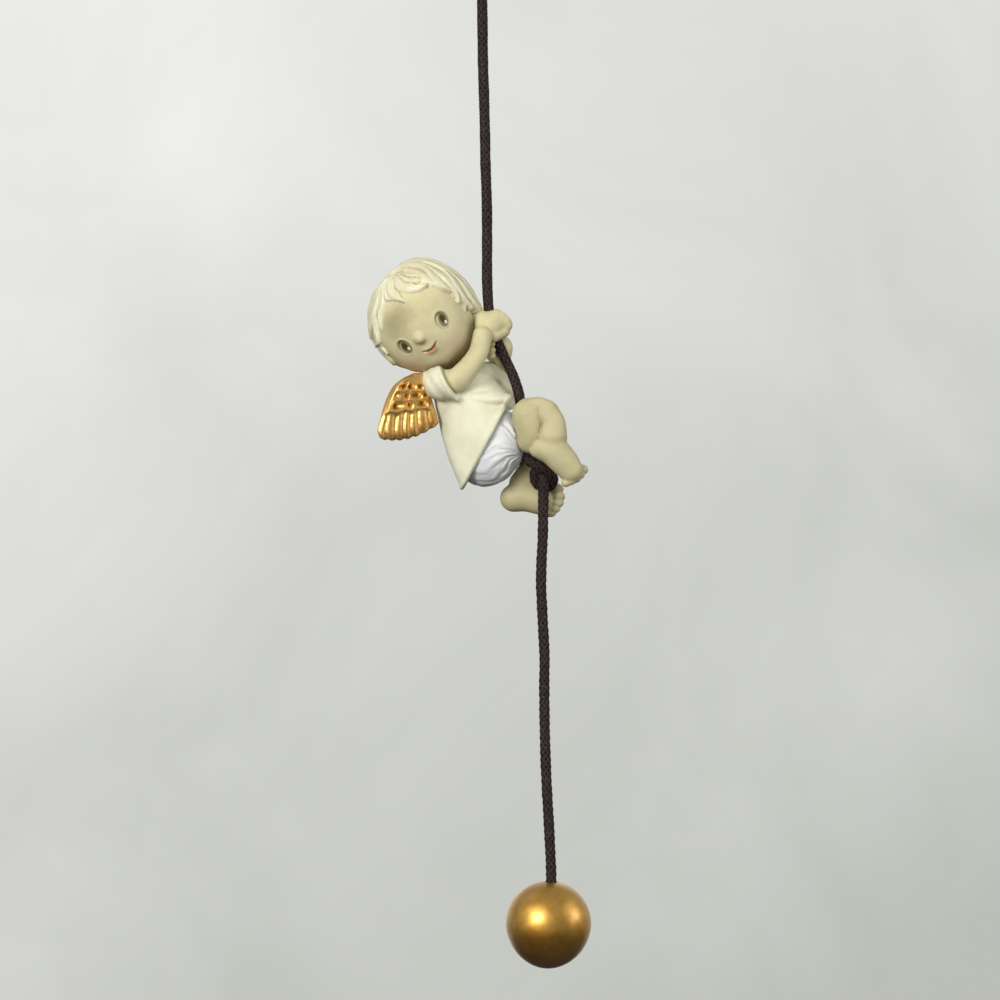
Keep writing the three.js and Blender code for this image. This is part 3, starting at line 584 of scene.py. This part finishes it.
def on_face(directions, azimuth, elevation, lean):
    """Place on the face in mm from a point of it, leftward and upward, turned by lean degrees, and the
    cosine of the angle away from that point."""
    middle = toward(azimuth, elevation)
    right = np.cross(HEAD_UP, middle)
    right /= np.linalg.norm(right)
    up = np.cross(middle, right)
    d = directions / np.maximum(directions @ middle, 0.05)[..., None]
    x, y = d @ right * HEAD_RADIUS, d @ up * HEAD_RADIUS
    c, s = np.cos(np.radians(lean)), np.sin(np.radians(lean))
    return c * x + s * y, c * y - s * x, directions @ middle


def head_radius(d):
    """Distance from the head's centre to the skull: a ball, a little narrow along x and fuller below the
    face, with low hills and hollows for the cheeks, chin, brow, temples and jaw."""
    up, front = d @ HEAD_UP, d @ HEAD_FRONT
    r = HEAD_RADIUS - 0.35 * d[..., 0] ** 2 + 0.25 * np.clip(-up, 0, 1) * (0.5 + 0.5 * front)
    return r + sum(rise * hill(d, *place) for rise, *place in HEAD_HILLS)


def within(tree, x, y, at, half, soft):
    """1 within an oval about a place and 0 outside it, with a soft edge: ((x - a) / p)^2 + ((y - b) / q)^2
    is set against 1."""
    squares = []
    for value, middle, size in zip((x, y), at, half):
        off = sum_of(tree, "DIVIDE", sum_of(tree, "SUBTRACT", value, middle), size)
        squares.append(sum_of(tree, "POWER", off, 2.0))
    return ranged(tree, sum_of(tree, "ADD", *squares), 1 + soft, 1 - soft)


front = around(HEAD_FRONT, 270, 250, 1.25)
skull = head_radius(front)
eye_x, eye_y, eye_off = (np.full(skull.shape, OFF_FACE) for _ in range(3))
for azimuth, elevation, lean in EYES:
    x, y, facing = on_face(front, azimuth, elevation, lean)
    x, y = x / EYE_HALF_WIDTH, y / EYE_HALF_HEIGHT
    off = np.where(facing > ON_FACE, np.hypot(x, y), OFF_FACE)
    near = off < eye_off
    eye_x, eye_y, eye_off = np.where(near, x, eye_x), np.where(near, y, eye_y), np.where(near, off, eye_off)
outside = 1 + 40 * np.clip(eye_off - 1.5, 0, 1)
eye_x, eye_y = eye_x * outside, eye_y * outside
socket = np.clip((1.12 - eye_off) / 0.18, 0, 1)
eyelid = np.exp(-(((eye_off - 1.3) / 0.18) ** 2)) * (0.5 + 0.5 * np.clip(eye_y, -1, 1))
skull = skull - socket * (0.26 - 0.30 * np.clip(1 - eye_off**2, 0, 1)) + 0.12 * eyelid
nose_x, nose_y, nose_facing = on_face(front, *NOSE, 0)
nose_off = np.where(nose_facing > ON_FACE, np.hypot(nose_x, nose_y * 1.05), OFF_FACE)
skull = skull + 1.0 * np.exp(-((nose_off / 0.95) ** 2.6))
ear_off = np.degrees(np.arccos(np.clip(front @ toward(*EAR), -1, 1))) / 8
skull = skull + 1.1 * np.exp(-(ear_off**4)) - 0.5 * np.exp(-((ear_off / 0.45) ** 2))
mouth_x, mouth_y, mouth_facing = on_face(front, *MOUTH, 2)
smile = np.where(mouth_facing > ON_FACE, mouth_y - 0.2 * mouth_x**2 + 0.2, OFF_FACE)
mouth_end = np.clip((1.7 - np.abs(mouth_x)) / 0.5, 0, 1)
lower_lip = np.exp(-(((smile + 0.5) / 0.34) ** 2) - (mouth_x / 1.1) ** 2)
upper_lip = np.exp(-(((smile - 0.55) / 0.4) ** 2) - (mouth_x / 1.5) ** 2)
skull = skull + mouth_end * (0.3 * lower_lip + 0.25 * upper_lip - 0.42 * np.exp(-((smile / 0.2) ** 2)))
head = closed_rings("head_casting", GRIP + HEAD_CENTRE + front * skull[..., None])

# Painted shadow: the cheek beside the arm and the jaw beneath it are darkened towards GAP_SHADE.
from_arm = limb((HEAD_CENTRE + front * skull[..., None]).astype(np.float32), RIGHT_ARM)
by_arm = np.clip(1.5 - from_arm / 2.2, 0, 1) ** 1.5
under_jaw = np.clip(1.3 * hill(front, 108, -72, 14), 0, 1)
face_values = {
    "eye_x": eye_x, "eye_y": eye_y, "smile": smile,
    "mouth_x": np.where(mouth_facing > ON_FACE, mouth_x, OFF_FACE),
    "blush": sum(hill(front, a, e, 10) for a, e in CHEEKS), "gap": np.maximum(by_arm, under_jaw),
}
for name, values in face_values.items():
    attribute(head, name, values, (values[0].mean(), values[-1].mean()))
# Painted shade in the head's crease value: under the nose, round the eyes, and the fringe's shadow on the
# forehead.
under_nose = np.exp(-(((nose_y + 0.95) / 0.4) ** 2) - ((nose_x - 0.2) / 0.85) ** 2) * (nose_facing > ON_FACE)
round_eyes = np.exp(-(((eye_off - 1.1) / 0.12) ** 2))
brow = 0.6 * hill(front, -22, 12, 13) + 0.64 * hill(front, 4, 14, 13)
pits = np.clip(0.9 * under_nose + 0.8 * round_eyes + brow, 0, 1)
attribute(head, "crease", pits, (pits[0].mean(), 0))

skin_paint, _ = paint("flesh_paint", *FLESH, srgb(104, 86, 50), 0.6)
face_paint, colour = paint("face_paint", *FLESH, srgb(134, 120, 78), 0.55)
tree = face_paint.node_tree
read = {name: stored(tree, name) for name in face_values}
colour = mixed(tree, sum_of(tree, "MULTIPLY", read["blush"], 0.32), colour, BLUSH)
for across, upward, at, half, soft, coat in FACE_COATS:
    colour = mixed(tree, within(tree, read[across], read[upward], at, half, soft), colour, srgb(*coat))
# Painted shadow beside the arm and under the jaw.
colour = mixed(tree, sum_of(tree, "MULTIPLY", read["gap"], 0.85), colour, GAP_SHADE)
put(tree, tree.nodes["Principled BSDF"], {"Base Color": colour})
head.data.materials.append(face_paint)
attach(head, "climber")
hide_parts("head")

neck = cast("neck_casting", lambda p: limb(p, NECK), (-17, -5, -15), (-6, 5, 2), NECK_VOXEL)
neck.data.materials.append(skin_paint)
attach(neck, "climber")

# Hair: short swept locks over the whole back of the head, cast on it and painted matt cream. They part
# at the crown, fall in two points on the forehead and sweep round to the left ear.
HAIRLINE_AT = (
    -180, -130, -100, -80, -62, -52, -43, -34, -25, -10, 5, 20, 35, 49, 57, 65, 73, 77, 106, 130, 180,
)
HAIRLINE_UP = (-40, -38, -32, -22, -10, 1, 12, 29, 46, 62, 66, 60, 45, 32, 14, -5, -16, -25, -28, -36, -40)
WHORL = (17, 77)
HAIR_ROWS, HAIR_COLUMNS, HAIR_STRANDS = 250, 300, 60
HAIR_SUNK = -0.7
# Each lock has its half width, its height at the root and at the tip, and its route round the head and up.
LOCKS = (
    (1.1, 0.95, 0.85, ((24, 66), (9, 52), (5, 41), (7, 31), (13, 22))),
    (0.8, 0.8, 0.6, ((14, 70), (1, 52), (-4, 41), (0, 32))),
    (1.2, 1.1, 0.9, ((31, 66), (24, 44), (25, 34), (33, 27), (46, 24))),
    (0.95, 1.05, 0.85, ((38, 66), (33, 46), (37, 36), (48, 33))),
    (1.3, 1.1, 0.9, ((47, 64), (53, 42), (50, 27), (58, 12))),
    (1.2, 1.35, 0.9, ((56, 66), (63, 40), (58, 16), (61, 1))),
    (1.3, 1.35, 1.0, ((66, 66), (67, 34), (70, 8), (66, -12))),
    (1.4, 1.25, 1.5, ((76, 66), (80, 30), (77, 1), (86, -27))),
    (1.35, 1.15, 2.1, ((88, 66), (85, 36), (87, 11), (93, -12), (101, -31))),
    (1.5, 1.2, 2.4, ((112, 62), (98, 36), (97, 13), (101, -8), (109, -31))),
    (1.6, 1.2, 2.2, ((140, 76), (112, 50), (110, 26), (112, 2), (118, -28))),
    (1.2, 0.6, 1.0, ((-2, 78), (-24, 60), (-36, 43), (-47, 28), (-66, 14))),
    (0.95, 0.7, 0.5, ((0, 70), (-13, 49), (-24, 31), (-35, 14))),
    (0.75, 0.55, 1.0, ((-40, 33), (-46, 18), (-54, 7), (-66, 3))),
    (0.6, 0.4, 0.6, ((-64, 12), (-56, -2), (-50, -12))),
    (1.6, 0.7, 0.9, ((-40, 82), (-75, 60), (-84, 40), (-88, 22), (-93, 6))),
    (1.5, 0.8, 1.0, ((-78, 34), (-82, 12), (-78, -8), (-84, -23))),
    (1.7, 0.9, 1.0, ((-70, 82), (-100, 56), (-104, 34), (-107, 12), (-113, -12))),
    (1.7, 1.0, 1.1, ((-100, 40), (-104, 8), (-100, -14), (-106, -34))),
    (2.0, 1.1, 1.2, ((-120, 82), (-126, 56), (-122, 30), (-124, 4), (-118, -18), (-124, -40))),
    (2.0, 1.2, 1.1, ((-150, 82), (-150, 54), (-143, 28), (-146, 2), (-138, -20), (-144, -42))),
    (2.0, 1.1, 1.2, ((180, 82), (-172, 54), (-165, 28), (-168, 0), (-160, -22), (-167, -43))),
    (2.0, 1.2, 1.1, ((160, 82), (164, 54), (172, 28), (170, 0), (178, -22), (171, -43))),
    (2.0, 1.1, 1.2, ((140, 82), (140, 54), (149, 28), (147, 2), (155, -20), (148, -42))),
    (2.0, 1.25, 1.1, ((120, 82), (126, 56), (130, 30), (127, 4), (132, -18), (124, -40))),
)


def lock(d, half_width, height, tip, route):
    """Height of one lock over directions: a half-round ridge along its route that tapers to a point, with
    fine strands along it. Outside the lock it is sunk."""
    line = smooth_line([toward(a, e) for a, e in route], 7)
    line /= np.linalg.norm(line, axis=1)[:, None]
    best, along, across = np.full(d.shape[:-1], -9.0), np.zeros(d.shape[:-1]), np.zeros(d.shape[:-1])
    for i, (a, b) in enumerate(zip(line[:-1], line[1:])):
        axis = b - a
        t = np.clip((d - a) @ axis / (axis @ axis), 0, 1)
        gap = d - a - t[..., None] * axis
        off = np.sqrt((gap * gap).sum(-1))
        near = -off > best
        best = np.where(near, -off, best)
        along = np.where(near, (i + t) / (len(line) - 1), along)
        across = np.where(near, gap @ np.cross(a, axis / np.linalg.norm(axis)), across)
    full = half_width * np.clip(np.minimum(along * 5 + 0.35, (1.02 - along) * 2.4), 0, 1) ** 0.8 / HEAD_RADIUS
    x = across / np.maximum(full, 1e-4)
    wave = 0.024 * np.sin(9 * along + 11 * height) * np.clip(4 * along, 0, 1)
    off = np.where((along > 0) & (along < 1), np.abs(across + wave), -best) / np.maximum(full, 1e-4)
    left = np.clip(1 - off**2, 0, 1)
    ridge = np.sqrt(left) * (height + (tip - height) * along**2) * np.clip(along * 3 + 0.6, 0, 1)
    strands = 0.07 * np.cos(6 * x + 4 * along + 1.5 * np.sin(7 * along + 7 * height)) * left
    return np.where(off < 1, ridge + strands, -0.6)


strewn = around(toward(*WHORL), HAIR_ROWS, HAIR_COLUMNS, 1.0)
up = np.degrees(np.arcsin(np.clip(strewn @ HEAD_UP, -1, 1)))
round_head = np.degrees(np.arctan2(strewn @ HEAD_LEFT, strewn @ HEAD_FRONT))
above = up - np.interp(round_head, HAIRLINE_AT, HAIRLINE_UP)
fine = 0.03 * np.cos(np.linspace(0, 2 * np.pi, HAIR_COLUMNS, endpoint=False) * HAIR_STRANDS)[None]
full = 0.4 + 0.65 * np.clip(strewn @ toward(98, 22), 0, 1) + 0.5 * np.clip(-(strewn @ HEAD_FRONT), 0, 1)
piled = np.clip(full * (above / 7 + 0.15), HAIR_SUNK, full) + fine * (above > 0)
for sizes in LOCKS:
    piled = np.maximum(piled, lock(strewn, *sizes))
piled = piled + 0.6 * hill(strewn, 106, 57, 17)
hair_radius = head_radius(strewn) + np.maximum(piled, HAIR_SUNK)
hair = closed_rings("hair_casting", GRIP + HEAD_CENTRE + strewn * hair_radius[..., None])
# Painted shade: the dips between locks are darkened.
smooth = sum(np.roll(piled, step, 1) for step in (0, 1, -1, 3, -3)) / 5
attribute(hair, "crease", np.clip(0.3 + 3.5 * (smooth - piled), 0, 1), (0.2, 0.2))
hair_paint, _ = paint("hair_paint", srgb(247, 241, 206), srgb(220, 211, 170), srgb(140, 126, 82), 0.62)
hair.data.materials.append(hair_paint)
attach(hair, "climber")
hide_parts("hair")

# Right arm: the near arm, bent at the elbow, with its fist closed round the cord above the other hand.
# Cast with the figure and painted flesh.
RIGHT_PALM = ((-0.4, -1.2, 0.3), (2.7, 2.2, 2.5))
RIGHT_WRIST = ((-2.0, -2.5, -1.5, 1.5), (-2.1, -1.5, 1.9, 1.15))
RIGHT_HAND_BACK = ((0.4, -1.8, 1.5, 1.4), (2.5, -1.0, 0.3, 1.2))
RIGHT_HAND_HEEL = ((0.2, -1.6, -1.8, 1.3), (2.2, -0.8, -0.9, 1.2))
RIGHT_KNUCKLES = ((1.0, -1.9, 2.4, 0.7), (1.9, -1.8, 1.9, 0.7), (2.7, -1.5, 1.1, 0.7), (3.1, -1.1, 0.1, 0.65))
RIGHT_FINGERS = ((1.7, 1.5), (2.6, 0.4), (2.4, -0.8))


def right_arm_field(p):
    """Distance to the arm: its limb and the parts of its fist, each melted into the rest, with round
    knuckles and three fingers that curl behind the cord."""
    hand = melt(limb(p, RIGHT_ARM), blob(p, *RIGHT_PALM), 1.2)
    for rings, fillet in ((RIGHT_WRIST, 0.6), (RIGHT_HAND_BACK, 0.8), (RIGHT_HAND_HEEL, 0.6)):
        hand = melt(hand, limb(p, rings), fillet)
    for x, y, z, r in RIGHT_KNUCKLES:
        hand = melt(hand, blob(p, (x, y, z), (r, r, r)), 0.9)
    for x, z in RIGHT_FINGERS:
        behind = ((2.0, 1.4, z - 0.1, 0.9), (0.2, 1.9, z - 0.2, 0.85), (-1.0, 1.2, z - 0.3, 0.8))
        hand = melt(hand, limb(p, ((x, -0.4, z, 0.95), *behind)), 0.3)
    return hand


right_arm = cast("right_arm_casting", right_arm_field, (-12, -10, -15), (6, 5, 6), LIMB_VOXEL, gown_field)
right_arm.data.materials.append(skin_paint)
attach(right_arm, "climber")
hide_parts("right_arm")

# Left arm: the far arm, which comes round from behind and grips the cord just below the other fist.
# Cast with the figure and painted flesh.
LEFT_ARM = ((1.5, 4.0, -10.0, 1.8), (1.3, 3.4, -7.6, 1.85), (1.6, 2.8, -5.6, 1.95))
LEFT_PALM = ((1.7, 2.3, -4.0), (2.2, 1.7, 2.4))
LEFT_FINGERS = (-3.6, -4.8, -5.9)


def left_arm_field(p):
    """Distance to the arm: its limb and palm, with three fingers that curl round the cord."""
    hand = melt(limb(p, LEFT_ARM), blob(p, *LEFT_PALM), 1.0)
    for z in LEFT_FINGERS:
        curled = ((0.3, 1.5, z, 0.85), (-0.3, 0.4, z + 0.2, 0.75), (0.1, -0.5, z + 0.3, 0.6))
        hand = melt(hand, limb(p, ((2.0, 1.8, z - 0.2, 0.9), *curled)), 0.35)
    return hand


left_arm = cast("left_arm_casting", left_arm_field, (-4, -4, -15), (6, 8, 0), LIMB_VOXEL, gown_field)
left_arm.data.materials.append(skin_paint)
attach(left_arm, "climber")
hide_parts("left_arm")

# Right leg: the near leg, drawn up with its knee bent sharply and its foot set on the stop knot.
# Cast with the figure and painted flesh, in a darker copy of the arms' paint as painted shade.
RIGHT_THIGH = (
    (4.1, -2.5, -20.6, 1.2), (7.2, -3.9, -21.4, 2.55), (7.1, -4.4, -18.8, 2.95), (6.75, -4.5, -16.8, 3.05),
)
RIGHT_KNEE = ((6.6, -4.0, -15.4, 1.8), (8.8, -4.0, -15.0, 1.6), (10.4, -4.3, -15.8, 1.8))
RIGHT_KNEECAP = ((6.8, -5.2, -15.3, 1.5), (8.9, -5.5, -14.8, 1.3), (10.4, -5.5, -15.4, 1.4))
RIGHT_CALF = ((10.4, -5.1, -16.5, 2.25), (11.4, -5.4, -18.3, 2.3), (11.3, -5.6, -20.7, 2.75))
RIGHT_FOOT = (
    (8.4, -5.5, -23.4, 1.35), (9.6, -5.5, -23.2, 2.1), (11.4, -5.5, -23.5, 2.75), (13.1, -5.5, -25.1, 2.75),
    (14.7, -5.5, -27.1, 2.35),
)
RIGHT_BIG_TOE = ((16.7, -4.6, -27.0), (1.3, 1.1, 1.0))
RIGHT_TOES = (
    (16.3, -5.2, -27.9, 0.9), (15.6, -5.6, -28.6, 0.85), (14.7, -5.9, -29.1, 0.8), (13.8, -6.0, -29.5, 0.75),
)
RIGHT_TOE_LENGTH = 1.15


def toe_row(p, big_toe, toes, length):
    """Distance to a row of toes: an oval big toe with the others melted on, each length times as long as
    it is wide."""
    row = blob(p, *big_toe)
    for x, y, z, r in toes:
        row = melt(row, blob(p, (x, y, z), (length * r, r, r)), 0.3)
    return row


def right_leg_field(p):
    """Distance to the leg: thigh and calf with a sharp crease between them, the knee melted over both,
    then the foot and its toes."""
    leg = melt(limb(p, RIGHT_THIGH), limb(p, RIGHT_CALF), 0.15)
    leg = melt(leg, melt(limb(p, RIGHT_KNEE), limb(p, RIGHT_KNEECAP), 0.5), 0.7)
    leg = melt(leg, limb(p, RIGHT_FOOT), 0.9)
    return melt(leg, toe_row(p, RIGHT_BIG_TOE, RIGHT_TOES, RIGHT_TOE_LENGTH), 0.6)


right_leg = cast("right_leg_casting", right_leg_field, (-3, -10, -32), (20, 1, -11), LIMB_VOXEL, nappy_field)
# The legs' flesh paint and crease colour are darker than the arms' as painted shade.
shaded_leg_paint, _ = paint("shaded_leg_paint", srgb(205, 195, 150), srgb(190, 179, 134), srgb(82, 66, 34), 0.6)
right_leg.data.materials.append(shaded_leg_paint)
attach(right_leg, "climber")
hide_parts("right_leg")

# Left leg: the far leg, hanging from the hip with its knee bent and its foot round behind the knot.
# Cast with the figure and painted as the near leg is.
LEFT_THIGH = ((2.1, 4, -23.4, 3.5), (6, 4.7, -22, 3.4), (9, 4.7, -21.2, 3.0))
LEFT_CALF = ((9.4, 4.7, -21.4, 2.8), (9, 4.7, -25.4, 2.8), (5.9, 4.1, -29.6, 2.7))
LEFT_FOOT = ((4.1, 3.7, -32.3, 2.6), (6.4, 3.5, -32.2, 2.65), (9.2, 3.4, -32.8, 2.65))
LEFT_BIG_TOE = ((12.0, 3.0, -30.6), (1.5, 1.2, 1.1))
LEFT_TOES = (
    (12.4, 2.8, -32.0, 1.0), (12.2, 2.7, -33.2, 0.95), (11.7, 2.7, -34.3, 0.85), (11.0, 2.8, -35.1, 0.8),
)
LEFT_TOE_LENGTH = 1.4


def left_leg_field(p):
    """Distance to the leg: thigh, calf, foot and toes, each melted into the one before."""
    leg = melt(limb(p, LEFT_THIGH), limb(p, LEFT_CALF), 0.5)
    leg = melt(leg, limb(p, LEFT_FOOT), 0.9)
    return melt(leg, toe_row(p, LEFT_BIG_TOE, LEFT_TOES, LEFT_TOE_LENGTH), 0.5)


left_leg = cast("left_leg_casting", left_leg_field, (-3, -1, -38), (16, 10, -15), LIMB_VOXEL, nappy_field)
left_leg.data.materials.append(shaded_leg_paint)
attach(left_leg, "climber")
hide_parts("left_leg")

# Wings: two small cast wings pegged into the gown's back and painted old gold, each with a thick smooth
# front rim, three rows of punched pits and a fan of long feathers below a scalloped step.
WING_ROOT, WING_SPLAY = (-10.5, 3.4, -13.9), np.radians(14)
WING_LEAD = (
    (-4.16, 4.97), (-6.42, 3.84), (-7.9, 2.6), (-8.96, 0.74), (-9.7, -1.14), (-10.3, -3.4), (-10.85, -5.65),
    (-10.55, -6.97),
)
WING_BACK = ((-2.85, 5.06), (-2.4, 4.2), (-1.6, 2.2), (-0.5, -0.9), (0.1, -3.0), (0.45, -4.1))
WING_HALF_THICK = 0.75
WING_ROWS, WING_ROUND = 190, 240
RIM_WIDTH, RIM_RISE = 0.13, 0.32
PIT_TOP, PIT_END, PIT_ROW, PIT_COLUMNS, PIT_DEPTH = 0.235, 0.7, 0.155, 4, 0.95
FEATHERS, FEATHER_RISE, FEATHER_SUNK = 7, 0.42, 0.34
STEP_AT, STEP_SCALLOP, STEP_RISE, STEP_SHARP = 0.735, 0.04, 0.3, 0.008


def wing(name, side, node_name):
    """A wing as closed sections down its length. Each section runs across from the front rim to the back
    edge on the outer face and returns on the inner one; the relief is a height over both faces."""
    v = np.linspace(0, 1, WING_ROWS)[:, None]
    w = np.linspace(0, 1, WING_ROUND, endpoint=False)[None]
    u = 0.5 - 0.5 * np.cos(2 * np.pi * w)
    outer = np.where(w < 0.5, 1.0, -1.0)

    def edge(points):
        """Places down one edge: an even curve through its points."""
        line, _ = even_line([(a, 0, b) for a, b in points], 0.05)
        at = np.linspace(0, 1, len(line))
        return np.interp(v, at, line[:, 0]), np.interp(v, at, line[:, 2])

    (lead_x, lead_z), (back_x, back_z) = edge(WING_LEAD), edge(WING_BACK)
    x, z = lead_x + (back_x - lead_x) * u, lead_z + (back_z - lead_z) * u
    lower = np.clip((v - 0.62) / 0.38, 0, 1) ** 2
    spread = FEATHERS * u**0.92
    z = z - lower * (1.3 * (4 * u * (1 - u)) + 0.32 * np.abs(np.sin(np.pi * spread)))
    top_end, low_end = np.clip((0.06 - v) / 0.06, 0, 1), np.clip((v - 0.9) / 0.1, 0, 1)
    tip = np.sqrt(np.clip(1 - low_end**2, 0, 1)) * np.sqrt(np.clip(1 - top_end**2, 0, 1))
    thick = WING_HALF_THICK * (1 - np.abs(2 * u - 1) ** 5) ** 0.5
    rim = RIM_RISE * np.exp(-(((u - 0.12) / 0.09) ** 2)) * np.clip((0.9 - v) / 0.3, 0, 1)
    step_at = STEP_AT - STEP_SCALLOP * np.abs(np.sin(FEATHERS / 2 * np.pi * u))
    layer = STEP_RISE / (1 + np.exp((v - step_at) / STEP_SHARP))
    row = (v - PIT_TOP) / PIT_ROW
    tile = np.floor(row)
    cell_v = row - tile - 0.5
    cell_u = (u - RIM_WIDTH) * PIT_COLUMNS + 0.4 * np.mod(tile, 2) + 0.12 * np.sin(5 * tile + 17 * u)
    cell_u = cell_u - np.floor(cell_u) - 0.5
    pits = 0.25 - PIT_DEPTH * np.exp(-((cell_u / 0.32) ** 2) - ((cell_v + 0.05) / 0.33) ** 2)
    pits = pits * np.clip((u - RIM_WIDTH) / 0.05, 0, 1) * np.clip((0.95 - u) / 0.05, 0, 1)
    pits = pits * (v > PIT_TOP) * (v < PIT_END)
    fan = spread + 0.16 * np.sin(10 * u + 1.5 * v)
    quills = FEATHER_RISE * np.abs(np.sin(np.pi * fan)) ** 0.7 - FEATHER_SUNK
    quills = quills / (1 + np.exp(-(v - step_at - 0.012) / STEP_SHARP)) * np.clip((u - 0.02) / 0.05, 0, 1)
    relief = rim + layer + pits + quills
    y = outer * (thick + relief * np.clip(4 * u * (1 - u) * 3, 0, 1)) * tip
    across = x / np.cos(WING_SPLAY)
    back = WING_ROOT[0] + across * np.cos(WING_SPLAY) + y * np.sin(WING_SPLAY)
    out = WING_ROOT[1] - across * np.sin(WING_SPLAY) + y * np.cos(WING_SPLAY)
    place = np.stack([back, side * out, WING_ROOT[2] + z + 0 * y], -1)
    made = closed_rings(name, GRIP + (place if side > 0 else place[:, ::-1]))
    # Painted shade: the pits and the hollows between quills are darkened.
    attribute(made, "crease", np.clip(-1.5 * pits - 2.4 * np.minimum(quills, 0) + 0 * y, 0, 1), (0, 0))
    made.data.materials.append(wing_gold)
    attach(made, "climber")
    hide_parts(node_name)


wing_gold, _ = paint("old_gold_paint", srgb(246, 200, 118), srgb(220, 164, 84), srgb(96, 60, 22), 0.42, 0.8)
tree = wing_gold.node_tree
put(tree, tree.nodes["Principled BSDF"], {"Metallic": 0.8, "Coat Weight": 0.3, "Coat Roughness": 0.3})
wing("right_wing_casting", -1, "right_wing")
wing("left_wing_casting", 1, "left_wing")

# Middle cord and stop knot: the same cord goes on from the lower fist behind the raised thigh, and an
# overhand knot in it carries the feet. Below the knot it hangs free.
middle_cord, middle_path, middle_length = cord_piece("middle_cord", FIST, TAIL)
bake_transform(middle_cord)
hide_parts("cord_middle", "stop_knot")

# Lower cord: the free end of the same braided cord, hanging straight under the bead's weight. Its cut end
# is glued into the bead.
lower_cord, lower_path, lower_length = cord_piece("lower_cord", TAIL, LOWER_LINE[-1])
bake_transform(lower_cord)
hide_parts("cord_lower_a", "cord_lower_b")

# Bead: a turned 16 mm wooden bead, blind bored for the cord's end and glued to it. It is painted satin
# gold, darkened to brown towards the bottom as painted shade, and comes to a slight nose at the bottom.
BEAD_CENTRE, BEAD_UP = np.array([12.5, 0, -211.32]), np.array([0.0628, 0, 0.998])
BEAD_RADIUS, BEAD_NOSE = 8.0, 0.45
BORE_RADIUS, BORE_DEPTH, BORE_LIP = 1.3, 10.0, 0.35
BEAD_ROWS, BEAD_ROUND = 120, 144
POLE = 0.02

mouth_angle = np.arcsin((BORE_RADIUS + BORE_LIP) / BEAD_RADIUS)
down = (mouth_angle + (np.pi - mouth_angle) * np.linspace(0, 1, BEAD_ROWS))[1:-1]
lip_turn = np.linspace(0, np.pi / 2, 8)[::-1]
lip_z = BEAD_RADIUS * np.cos(mouth_angle)
profile_r = np.concatenate([
    [POLE, BORE_RADIUS * 0.9, BORE_RADIUS], BORE_RADIUS + BORE_LIP * (1 - np.sin(lip_turn)) * 0.99,
    BEAD_RADIUS * np.sin(down), [POLE],
])
profile_z = np.concatenate([
    [lip_z - BORE_DEPTH] * 2, [lip_z - 1.0], lip_z - BORE_LIP + BORE_LIP * np.cos(lip_turn),
    BEAD_RADIUS * np.cos(down), [-BEAD_RADIUS],
])
lowness = np.where(profile_r > 0.1, np.clip(-profile_z / BEAD_RADIUS, 0, 1), 1)
profile_z = (profile_z - BEAD_NOSE * lowness**3 * (profile_z < -BEAD_RADIUS / 2))[:, None]
angle = np.linspace(0, 2 * np.pi, BEAD_ROUND, endpoint=False)[None]
dent = 1 + 0.004 * np.sin(3 * angle + 1) * np.sin(profile_z / 3) + 0.002 * np.sin(7 * angle - profile_z)
across, away = np.cross(BEAD_UP, (0, 1, 0)), np.array([0, 1.0, 0])
outward = np.cos(angle)[..., None] * across - np.sin(angle)[..., None] * away
bead_rings = BEAD_CENTRE + profile_z[..., None] * BEAD_UP + (profile_r[:, None] * dent)[..., None] * outward
bead = closed_rings("bead_turned", bead_rings)
# Painted shade: the lower half is darkened towards brown.
low = np.clip(-(profile_z + 0 * angle) / BEAD_RADIUS - 0.05, 0, 1) * 0.9
attribute(bead, "low", low, (0, low[-1, 0]))

bead_gold, tree, bsdf, where = shader("satin_gold_paint")
cloud = noise(tree, where, 260.0, {"Detail": 3.0})
gilt = ramp(tree, cloud, (0.35, srgb(208, 150, 50)), (0.7, srgb(242, 194, 90)))
put(tree, bsdf, {
    "Base Color": mixed(tree, stored(tree, "low"), gilt, srgb(140, 78, 16)),
    "Normal": bumped(tree, noise(tree, where, 800.0, {"Detail": 4.0}), 0.3),
    "Metallic": 1.0,
    "Roughness": 0.47,
    "Coat Weight": 1.0,
    "Coat Roughness": 0.3,
})
bead.data.materials.append(bead_gold)
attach(bead, "bead")
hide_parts("bead")
